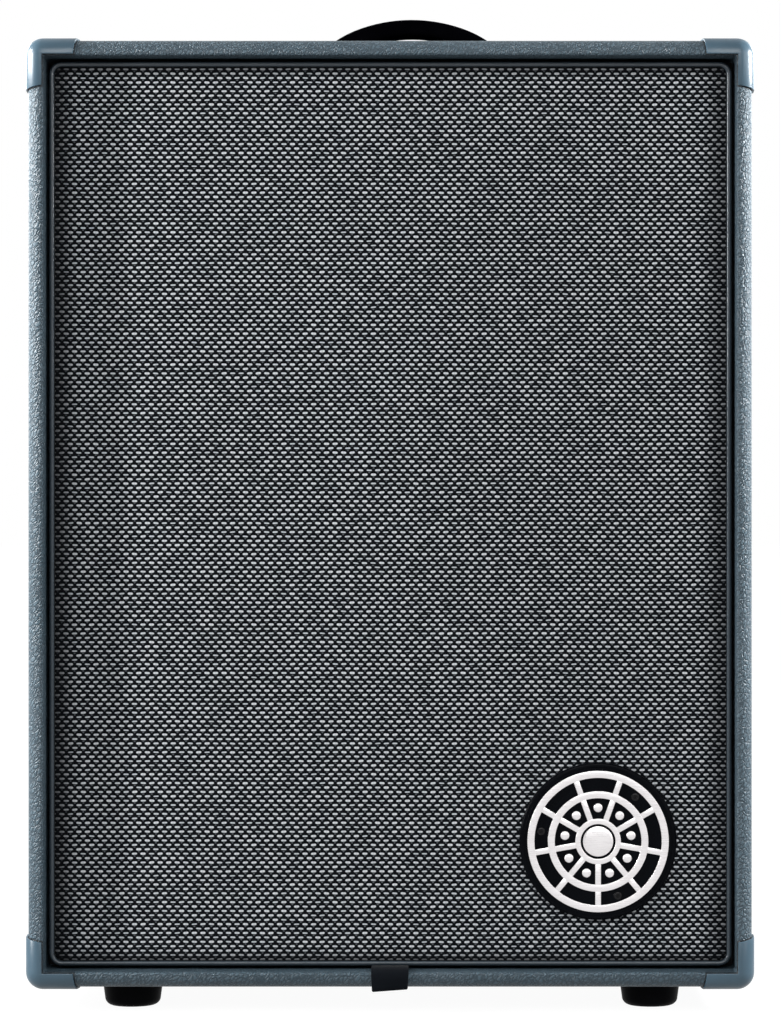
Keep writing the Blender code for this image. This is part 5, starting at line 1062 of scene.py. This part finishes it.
def make_basket(side, place):
    """The pressed frame: a rounded flange with a raised gasket line, a ledge and six windows."""
    front, wall, back, shoulder = FLANGE_FRONT, 0.003, 0.076, 0.015
    seat, ledge, ledge_radius = 0.112, -0.0033, 0.1045
    body, rear, hole, edge = 0.115, 0.060, 0.0296, 0.0012
    profile = [(rear, back), (rear, back - 2 * wall), (body, shoulder), (body, -GAP), (FLANGE_RADIUS, -GAP)]
    profile += fillet(FLANGE_RADIUS, front, -edge, edge, 4)
    profile += [
        (0.1178, front), (0.1174, front - 0.0004), (0.1142, front - 0.0004), (0.1138, front),
        (seat + 0.0004, front), (seat, front + 0.0004), (seat, ledge), (ledge_radius, ledge),
        (ledge_radius, ledge + wall), (seat, ledge + 2 * wall), (seat, shoulder - wall / 2),
        (rear - wall, back - 3 * wall), (rear - wall, back - wall), (hole, back - wall), (hole, back),
    ]
    bm = bmesh.new()
    lathe(bm, profile, ROUND, place, closed=True)
    x, y, z = place
    windows = bmesh.new()
    for index in range(6):
        before = set(windows.verts)
        block(
            windows, (x + rear - wall / 2, y + shoulder + 2 * wall, z - 0.022),
            (x + FLANGE_RADIUS + wall / 2, y + back - 4 * wall, z + 0.022),
        )
        turn_new(windows, before, place, 2 * math.pi * (index + 0.5) / 6)
    finished(
        f"{side}_basket", cut(bm, windows), "powder_coat", "cabinet", 35.0,
        f"{side}_woofer_basket",
    )
    screws = []
    for index in range(8):
        turn = 2 * math.pi * (index + 0.5) / 8
        across, up = FLANGE_SCREW_CIRCLE * math.cos(turn), FLANGE_SCREW_CIRCLE * math.sin(turn)
        screws.append((x + across, y + front, z + up))
    make_screws(f"{side}_basket_screws", screws, 0.0036, "black_screw", "cabinet", -1)


def make_cone(side, place):
    """The cone with three pressed ribs and a domed dust cap, and the voice coil behind it."""
    bottom, coil_end, thick = 0.0417, 0.0889, 0.0012
    slope = (bottom - CONE_RIM) / (CONE_RADIUS - COIL_RADIUS)
    cap_edge = bottom - (CAP_RADIUS - COIL_RADIUS) * slope
    sphere = (CAP_RADIUS ** 2 + CAP_RISE ** 2) / (2 * CAP_RISE)
    profile = []
    for step in range(13):
        radius = max(CAP_RADIUS * step / 12, AXIS_HOLE)
        profile.append((radius, cap_edge - CAP_RISE + sphere - math.sqrt(sphere ** 2 - radius ** 2)))
    profile.append((CAP_RADIUS + 0.0004, cap_edge + 0.0002))
    for step in range(1, 61):
        radius = CAP_RADIUS + (CONE_RADIUS - CAP_RADIUS) * step / 60
        rib = sum(math.exp(-((radius - middle) / 0.0011) ** 2) for middle in (0.050, 0.064, 0.077))
        profile.append((radius, CONE_RIM + (CONE_RADIUS - radius) * slope - 0.0008 * rib))
    back_drop = thick * math.sqrt(1 + slope ** 2)
    inner_coil = COIL_RADIUS - 0.001
    profile += [
        (CONE_RIM_RADIUS, CONE_RIM), (CONE_RIM_RADIUS, CONE_RIM + thick),
        (CONE_RADIUS, CONE_RIM + back_drop), (COIL_RADIUS, bottom + back_drop), (COIL_RADIUS, coil_end),
        (inner_coil, coil_end), (inner_coil, cap_edge), (AXIS_HOLE, cap_edge - 0.0105),
    ]
    bm = bmesh.new()
    lathe(bm, profile, ROUND, place)
    finished(f"{side}_cone_and_cap", bm, "cone", f"{side}_cone", 40.0, f"{side}_woofer_cone")


def make_surround(side, place):
    """A rubber half roll with flat lips."""
    level, half = -0.0041, 0.0005
    inner_lip, outer_lip = CONE_RIM_RADIUS - 0.004, SURROUND_RADIUS + 0.0065
    middle, roll = (CONE_RIM_RADIUS + SURROUND_RADIUS) / 2, (SURROUND_RADIUS - CONE_RIM_RADIUS) / 2
    front = [(inner_lip, level - half)]
    behind = [(inner_lip, level + half)]
    for step in range(17):
        angle = math.pi * step / 16
        across, ahead = -math.cos(angle), math.sin(angle)
        front.append((middle + (roll + half) * across, level - half * 0.2 - (roll + half) * ahead))
        behind.append((middle + (roll - half) * across, level + half - (roll - half) * ahead))
    front.append((outer_lip, level - half))
    behind.append((outer_lip, level + half))
    bm = bmesh.new()
    lathe(bm, front + behind[::-1], ROUND, place, closed=True)
    finished(
        f"{side}_surround_roll", bm, "rubber", "cabinet", 50.0,
        f"{side}_woofer_surround",
    )


def make_woofers():
    for side in ("upper", "lower"):
        middle = node_centre(f"{side}_woofer_basket")
        place = (middle.x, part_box("baffle_board")[0].y, middle.z)
        make_basket(side, place)
        make_cone(side, place)
        make_surround(side, place)


def make_horn():
    """A flared horn in a square flange with rounded corners and four screws."""
    low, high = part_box("tweeter_horn")
    baffle_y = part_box("baffle_board")[0].y
    middle = (low + high) / 2
    mouth, throat = (high.x - low.x) / 2 - 0.010, 0.0125
    front, length, wall = low.y, high.y - low.y, 0.003
    driver_seat = 0.004

    def flare(share):
        return mouth * (throat / mouth) ** (share ** 0.6)

    lip = ((0.0045, 0.0010), (0.0036, -0.0002), (0.0026, -0.0005), (0.0014, -0.0003), (0.0003, 0.0005))
    inner = [(mouth + out, front + behind) for out, behind in lip]
    shares = [step / 28 for step in range(1, 29)]
    inner += [(flare(share), front + length * share) for share in shares]
    outer = [(flare(share) + wall, front + length * share) for share in shares if share < 0.92]
    profile = inner + [
        (0.030, high.y), (0.030, high.y - driver_seat), (flare(0.93) + wall, high.y - driver_seat),
    ]
    profile += outer[::-1] + [(mouth + 0.0045, front + 0.0035)]
    bm = bmesh.new()
    lathe(bm, profile, ROUND, (middle.x, 0.0, middle.z), closed=True)
    flange = bmesh.new()
    plate(flange, low, (high.x, baffle_y - GAP, high.z), 0.012, 0.0012, -1)
    opening = bmesh.new()
    bar(opening, mouth + 0.0042, front - 0.01, baffle_y + 0.01, middle.x, middle.z, ROUND)
    add_mesh(bm, mesh_from("horn_flange", cut(flange, opening)))
    finished("horn", bm, "plastic", "cabinet", 35.0, "tweeter_horn")
    reach = (high.x - low.x) / 2 - 0.011
    corners = [(middle.x + i * reach, front, middle.z + k * reach) for i in (-1, 1) for k in (-1, 1)]
    make_screws("horn_screws", corners, 0.0034, "black_screw", "cabinet", -1)


def make_port():
    """A flared tube with a rounded flange."""
    low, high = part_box("port_tube")
    middle = (low + high) / 2
    bore, wall, flare, edge = 0.040, 0.003, 0.008, 0.0012
    flange = (high.x - low.x) / 2
    profile = [(bore, high.y), (bore + wall, high.y), (bore + wall, low.y + wall), (flange, low.y + wall)]
    profile += fillet(flange, low.y, -edge, edge, 4) + fillet(bore, low.y, flare, flare, 10)[::-1]
    bm = bmesh.new()
    lathe(bm, profile, ROUND, (middle.x, 0.0, middle.z), closed=True)
    finished("port", bm, "plastic", "cabinet", 40.0, "port_tube")


# Amplifier

def make_control_panel():
    """The painted panel with its holes and the fan's slots."""
    low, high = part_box("control_panel")
    start, end = low.y - 0.01, high.y + 0.01
    body = bmesh.new()
    plate(body, low, high, 0.004, 0.0005)
    holes = bmesh.new()
    round_holes = [(knob, SHAFT_HOLE) for knob in KNOBS] + [("input_jack", JACK_HOLE)]
    round_holes += [(node, SOCKET_HOLE) for node in ("di_connector", "speaker_output_socket")]
    for node, radius in round_holes:
        middle = node_centre(node)
        bar(holes, radius, start, end, middle.x, middle.z)
    for node, margin in (("mains_inlet", 0.0027), ("mute_button", -0.0006)):
        corner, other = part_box(node)
        plate(
            holes, (corner.x + margin, start, corner.z + margin), (other.x - margin, end, other.z - margin),
            0.0008, 0.0001,
        )
    fan = node_centre("fan_housing")
    for index in range(-2, 3):
        z = fan.z + index * SLOT_PITCH
        half = math.sqrt(FAN_RADIUS ** 2 - (index * SLOT_PITCH) ** 2) * 0.9
        plate(
            holes, (fan.x - half, start, z - SLOT_HEIGHT / 2), (fan.x + half, end, z + SLOT_HEIGHT / 2),
            0.0017, 0.0001,
        )
    finished("amp_panel", cut(body, holes), "powder_coat", "cabinet", 35.0, "control_panel")
    inset = 0.006
    places = [
        (x, high.y, z) for x in (low.x + inset, -0.058, 0.082, high.x - inset)
        for z in (low.z + inset, high.z - inset)
    ]
    make_screws("panel_screws", places, 0.0030, "black_screw", "cabinet", 1)


def make_knob(name):
    """A fluted knob on a plain skirt, with a pale pointer, and its shaft."""
    low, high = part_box(name)
    middle = (low + high) / 2
    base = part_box("control_panel")[1].y + 0.0006
    top = high.y
    sections = (                  # radius, depth, depth of the flutes
        (0.0032, base, 0.0), (0.0092, base, 0.0), (0.0095, base + 0.0003, 0.0), (0.0095, base + 0.0012, 0.0),
        (0.0092, base + 0.0016, 0.0), (0.0082, base + 0.0026, 0.0), (0.0079, base + 0.0036, 0.0005),
        (0.0078, top - 0.0016, 0.0005), (0.0075, top - 0.0006, 0.0003), (0.0068, top, 0.0),
        (0.0060, top, 0.0), (0.0056, top - 0.0003, 0.0), (AXIS_HOLE, top - 0.0003, 0.0),
    )
    steps = KNOB_FLUTES * 6
    rings = []
    for radius, y, depth in sections:
        ring = []
        for step in range(steps):
            turn = 2 * math.pi * step / steps
            reach = radius - depth * (0.5 + 0.5 * math.cos(KNOB_FLUTES * turn))
            ring.append(Vector((middle.x + reach * math.cos(turn), y, middle.z + reach * math.sin(turn))))
        rings.append(ring)
    bm = bmesh.new()
    loft(bm, rings)
    bar(bm, 0.003, low.y, base + 0.002, middle.x, middle.z, 24)
    finished(f"{name}_grip", bm, "plastic", name, 40.0, name)
    bm = bmesh.new()
    left, right = middle.x - 0.0006, middle.x + 0.0006
    block(bm, (left, top - 0.0005, middle.z + 0.0012), (right, top, middle.z + 0.0072))
    block(bm, (left, base + 0.0036, middle.z + 0.0066), (right, top, middle.z + 0.0080), 0.0002)
    finished(f"{name}_pointer", bm, "print", name, 30.0)


def add_print(bm, text, size, x, z, face_y):
    """Raised ink on the rear panel that reads from behind, centred on a point."""
    curve = bpy.data.curves.new(text, "FONT")
    curve.body = text
    curve.size = size
    curve.extrude = 0.00004
    curve.align_x = "CENTER"
    curve.align_y = "CENTER"
    obj = linked(text, curve)
    mesh = bpy.data.meshes.new_from_object(obj.evaluated_get(bpy.context.evaluated_depsgraph_get()))
    mesh.transform(Matrix(((-1, 0, 0, x), (0, 0, 1, face_y + 0.00003), (0, 1, 0, z), (0, 0, 0, 1))))
    bpy.data.objects.remove(obj, do_unlink=True)
    add_mesh(bm, mesh)


def make_print():
    """A dial round each knob, and the two settings of the power switch."""
    face_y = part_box("control_panel")[1].y
    tick_start, tick_half, number_circle = 0.0115, 0.00026, 0.0165
    bm = bmesh.new()
    for knob in KNOBS:
        middle = node_centre(knob)
        for value in range(11):
            turn = math.radians(DIAL_SWEEP * (value - 5) / 5)
            numbered = value in (0, 5, 10)
            before = set(bm.verts)
            block(
                bm, (middle.x - tick_half, face_y, middle.z + tick_start),
                (middle.x + tick_half, face_y + 0.00007, middle.z + (0.0138 if numbered else 0.0130)),
            )
            turn_new(bm, before, middle, -turn)
            if numbered:
                x = middle.x - number_circle * math.sin(turn)
                add_print(bm, str(value), 0.0042, x, middle.z + number_circle * math.cos(turn), face_y)
    rocker = node_centre("power_rocker")
    side_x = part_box("mains_inlet")[1].x + 0.0085
    for text, rise in (("ON", 0.006), ("OFF", -0.006)):
        add_print(bm, text, 0.0046, side_x, rocker.z + rise, face_y)
    finished("panel_print", bm, "print", "cabinet", 30.0)


def make_button():
    """The square mute button with a softened cap."""
    low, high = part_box("mute_button")
    bm = bmesh.new()
    plate(bm, low, high, 0.0012, 0.0010)
    finished("mute_cap", bm, "plastic", "mute_button", 40.0, "mute_button")


def make_jack():
    """A threaded bush with a hexagonal nut and a washer, and the jack's body behind the panel."""
    low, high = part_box("input_jack")
    middle = (low + high) / 2
    place = (middle.x, 0.0, middle.z)
    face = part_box("control_panel")[1].y
    bore_end, shoulder = high.y - 0.0200, low.y + 0.020
    bush = (
        (0.00325, bore_end), (0.00325, high.y - 0.0004), (0.00365, high.y), (0.0044, high.y),
        (0.0048, high.y - 0.0004), (0.0048, face + 0.0003), (0.0052, face), (0.0052, shoulder),
        (0.0088, shoulder), (0.0088, low.y), (AXIS_HOLE, low.y), (AXIS_HOLE, bore_end),
    )
    washer = (
        (0.0046, face + 0.0002), (0.0078, face + 0.0002), (0.0078, face + 0.0007), (0.0046, face + 0.0007),
    )
    nut = (
        (0.0047, face + 0.0007), (0.0074, face + 0.0007), (0.0077, face + 0.0010), (0.0077, face + 0.0024),
        (0.0070, face + 0.0028), (0.0050, face + 0.0028), (0.0047, face + 0.0025),
    )
    bm = bmesh.new()
    for profile, sides in ((bush, 48), (washer, 48), (nut, 6)):
        lathe(bm, profile, sides, place, closed=True)
    finished("jack", bm, "steel", "cabinet", 30.0, "input_jack")


def socket_body(node, recess_radius):
    """A flanged socket with a round recess, its middle, and the depths of its floor and its face."""
    low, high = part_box(node)
    middle = (low + high) / 2
    floor_y = high.y - 0.016
    body = bmesh.new()
    plate(body, (low.x, high.y - 0.002, low.z), high, 0.003, 0.0005)
    recess = bmesh.new()
    bar(recess, recess_radius, floor_y, high.y + 0.01, middle.x, middle.z, 64)
    inner, outer = recess_radius - 0.0001, 0.0118
    shell = (
        (inner, floor_y), (AXIS_HOLE, floor_y), (AXIS_HOLE, low.y), (outer, low.y), (outer, high.y - 0.0012),
        (inner, high.y - 0.0012),
    )
    body = cut(body, recess)
    lathe(body, shell, 64, (middle.x, 0.0, middle.z), closed=True)
    return body, middle, floor_y, high.y


def flange_screws(middle, face_y):
    return [(middle.x + i * 0.0098, face_y, middle.z + k * 0.0122) for i, k in ((-1, 1), (1, -1))]


def make_sockets():
    """The balanced output with its pins and the speaker output with its post."""
    bm, middle, floor_y, face_y = socket_body("di_connector", 0.0095)
    pin = (
        (0.0012, floor_y - 0.0005), (0.0012, floor_y + 0.0094), (0.0007, floor_y + 0.0100),
        (AXIS_HOLE, floor_y + 0.0101),
    )
    for index in range(3):
        turn = math.radians(90.0 + 120.0 * index)
        lathe(bm, pin, 20, (middle.x + 0.0046 * math.cos(turn), 0.0, middle.z + 0.0046 * math.sin(turn)))
    finished("di_socket", bm, "steel", "cabinet", 30.0, "di_connector")
    screws = flange_screws(middle, face_y)

    bm, middle, floor_y, face_y = socket_body("speaker_output_socket", 0.0102)
    post = (
        (0.0040, floor_y - 0.0005), (0.0040, floor_y + 0.0085), (0.0035, floor_y + 0.0090),
        (0.0016, floor_y + 0.0090), (0.0014, floor_y + 0.0080), (AXIS_HOLE, floor_y + 0.0080),
    )
    lathe(bm, post, 32, (middle.x, 0.0, middle.z))
    for sign in (-1, 1):
        x = middle.x + sign * 0.0096
        block(bm, (x - 0.0007, floor_y, middle.z - 0.0015), (x + 0.0007, face_y - 0.001, middle.z + 0.0015))
    finished("speaker_socket", bm, "plastic", "cabinet", 30.0, "speaker_output_socket")
    screws += flange_screws(middle, face_y)
    make_screws("socket_screws", screws, 0.0020, "black_screw", "cabinet", 1)


def make_inlet():
    """The mains inlet with its three blades, and the open bay of the rocker."""
    low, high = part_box("mains_inlet")
    middle = (low + high) / 2
    face, floor_y, wall = high.y, high.y - 0.016, 0.0010
    recess_x = middle.x - 0.0115
    bays = (                      # middle, half width, half height, depth of the floor, corner radius
        (recess_x, 0.0120, 0.00825, floor_y, 0.002),
        (node_centre("power_rocker").x, 0.0066, 0.0106, face - 0.0056, 0.0008),
    )
    body = bmesh.new()
    plate(body, (low.x, face - 0.003, low.z), high, 0.002, 0.0006)
    inner = bmesh.new()
    for x, half_x, half_z, _, radius in bays:
        plate(inner, (x - half_x, face - 0.006, middle.z - half_z),
              (x + half_x, face + 0.006, middle.z + half_z), radius, 0.0001)
    bm = cut(body, inner)
    for x, half_x, half_z, bay_floor, _ in bays:
        rings = [
            ring_at(y, half_x + grow, half_z + grow, radius, 6, x, middle.z)
            for grow, y, radius in (
                (0.0, face - 0.0012, 0.0019), (0.0, bay_floor, 0.0019), (wall, bay_floor - wall, 0.0028),
                (wall, face - 0.0012, 0.0028),
            )
        ]
        loft(bm, rings, wrap=True)
        plate(bm, (x - half_x - 0.0002, bay_floor - wall, middle.z - half_z - 0.0002),
              (x + half_x + 0.0002, bay_floor, middle.z + half_z + 0.0002), 0.0019, 0.0001)
    block(bm, (low.x + 0.003, low.y, low.z + 0.003), (high.x - 0.003, floor_y - wall, high.z - 0.003))
    finished("inlet", bm, "plastic", "cabinet", 35.0, "mains_inlet")
    bm = bmesh.new()
    for index, rise in ((-1, -0.001), (0, 0.001), (1, -0.001)):
        x, z = recess_x + index * 0.007, middle.z + rise
        block(bm, (x - 0.001, floor_y, z - 0.002), (x + 0.001, floor_y + 0.0105, z + 0.002), 0.0003)
    finished("inlet_blades", bm, "steel", "cabinet", 30.0)


def make_rocker():
    """The rocker with its dished face, its lower end pressed in, and the marks of its two sides."""
    pivot = Vector((node_centre("power_rocker").x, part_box("mains_inlet")[1].y, node_centre("mains_inlet").z))
    half_width, half, depth, dish, edge = 0.006, 0.0095, 0.003, 0.001, 0.0004
    outline = [(-depth, -half)]
    for step in range(17):
        along = half * (2 * step / 16 - 1)
        outline.append((depth - dish * (1 - (along / half) ** 2), along))
    outline.append((-depth, half))
    inner_x = half_width - edge
    rings = []
    for x, shrink in ((-half_width, edge), (-inner_x, 0.0), (inner_x, 0.0), (half_width, edge)):
        flatter, shorter = 1 - shrink / depth, 1 - shrink / half
        rings.append([pivot + Vector((x, out * flatter, along * shorter)) for out, along in outline])
    turn = Matrix.Rotation(-math.radians(ROCKER_TILT), 3, "X")
    bm = bmesh.new()
    loft(bm, rings)
    bmesh.ops.rotate(bm, cent=pivot, matrix=turn, verts=bm.verts)
    finished("rocker", bm, "gloss_plastic", "power_rocker", 35.0, "power_rocker")
    bm = bmesh.new()
    near = pivot.y + depth - 0.0006
    far = near + 0.0003
    block(bm, (pivot.x - 0.0004, near, pivot.z + 0.0040), (pivot.x + 0.0004, far, pivot.z + 0.0072))
    ring = ((0.0011, near), (0.0018, near), (0.0018, far), (0.0011, far))
    lathe(bm, ring, 32, (pivot.x, 0.0, pivot.z - 0.0056), closed=True)
    bmesh.ops.rotate(bm, cent=pivot, matrix=turn, verts=bm.verts)
    finished("rocker_marks", bm, "print", "power_rocker", 30.0)


def make_back_screws():
    """Screws with cup washers round the edge of the back panel."""
    low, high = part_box("back_panel")
    inset = 0.014
    sides = (low.x + inset, high.x - inset)
    ends = (low.z + inset, high.z - inset)
    places = [(x, z) for x in (sides[0], -0.07, 0.07, sides[1]) for z in ends]
    places += [(x, low.z + (high.z - low.z) * share) for x in sides for share in (0.36, 0.66)]
    y = high.y
    cup = (
        (0.0066, y - 0.0002), (0.0066, y + 0.0003), (0.0050, y + 0.0011), (0.0042, y + 0.0008),
        (0.0042, y - 0.0002),
    )
    bm = bmesh.new()
    for x, z in places:
        lathe(bm, cup, 36, (x, 0.0, z), closed=True)
        add_screw(bm, (x, y + 0.0004, z), 0.0040, 1)
    finished("back_screws", bm, "black_screw", "cabinet")


def make_amplifier():
    make_control_panel()
    for name in KNOBS:
        make_knob(name)
    make_print()
    make_button()
    make_jack()
    make_sockets()
    make_inlet()
    make_rocker()
    make_back_screws()


# Materials of the CAD nodes that stay

NODE_FINISHES = {
    "plywood": ("top_panel", "bottom_panel", "left_side_panel", "right_side_panel", "rear_batten_frame"),
    "board_paint": ("baffle_board", "back_panel", "grille_frame"),
    "webbing": ("fastening_strip_top", "fastening_strip_bottom"),
    "powder_coat": ("tweeter_driver",),
    "plastic": ("fan_housing", "fan_rotor"),
    "steel": ("upper_woofer_magnet", "lower_woofer_magnet", "amp_chassis"),
    "circuit": ("circuit_board", "crossover_board"),
    "aluminium": ("heat_sink",),
}


def paint_nodes():
    for material, nodes in NODE_FINISHES.items():
        for node in nodes:
            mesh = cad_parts[node].data
            mesh.materials.clear()
            mesh.materials.append(MATERIALS[material])


def main():
    bpy.context.scene.view_settings.view_transform = "Standard"
    make_camera()
    make_world()
    make_lights()
    make_floor()
    paint_nodes()
    make_skin()
    make_protectors()
    make_cloth()
    make_piping()
    make_badge()
    make_tab()
    make_handle()
    make_feet()
    make_woofers()
    make_horn()
    make_port()
    make_amplifier()


main()
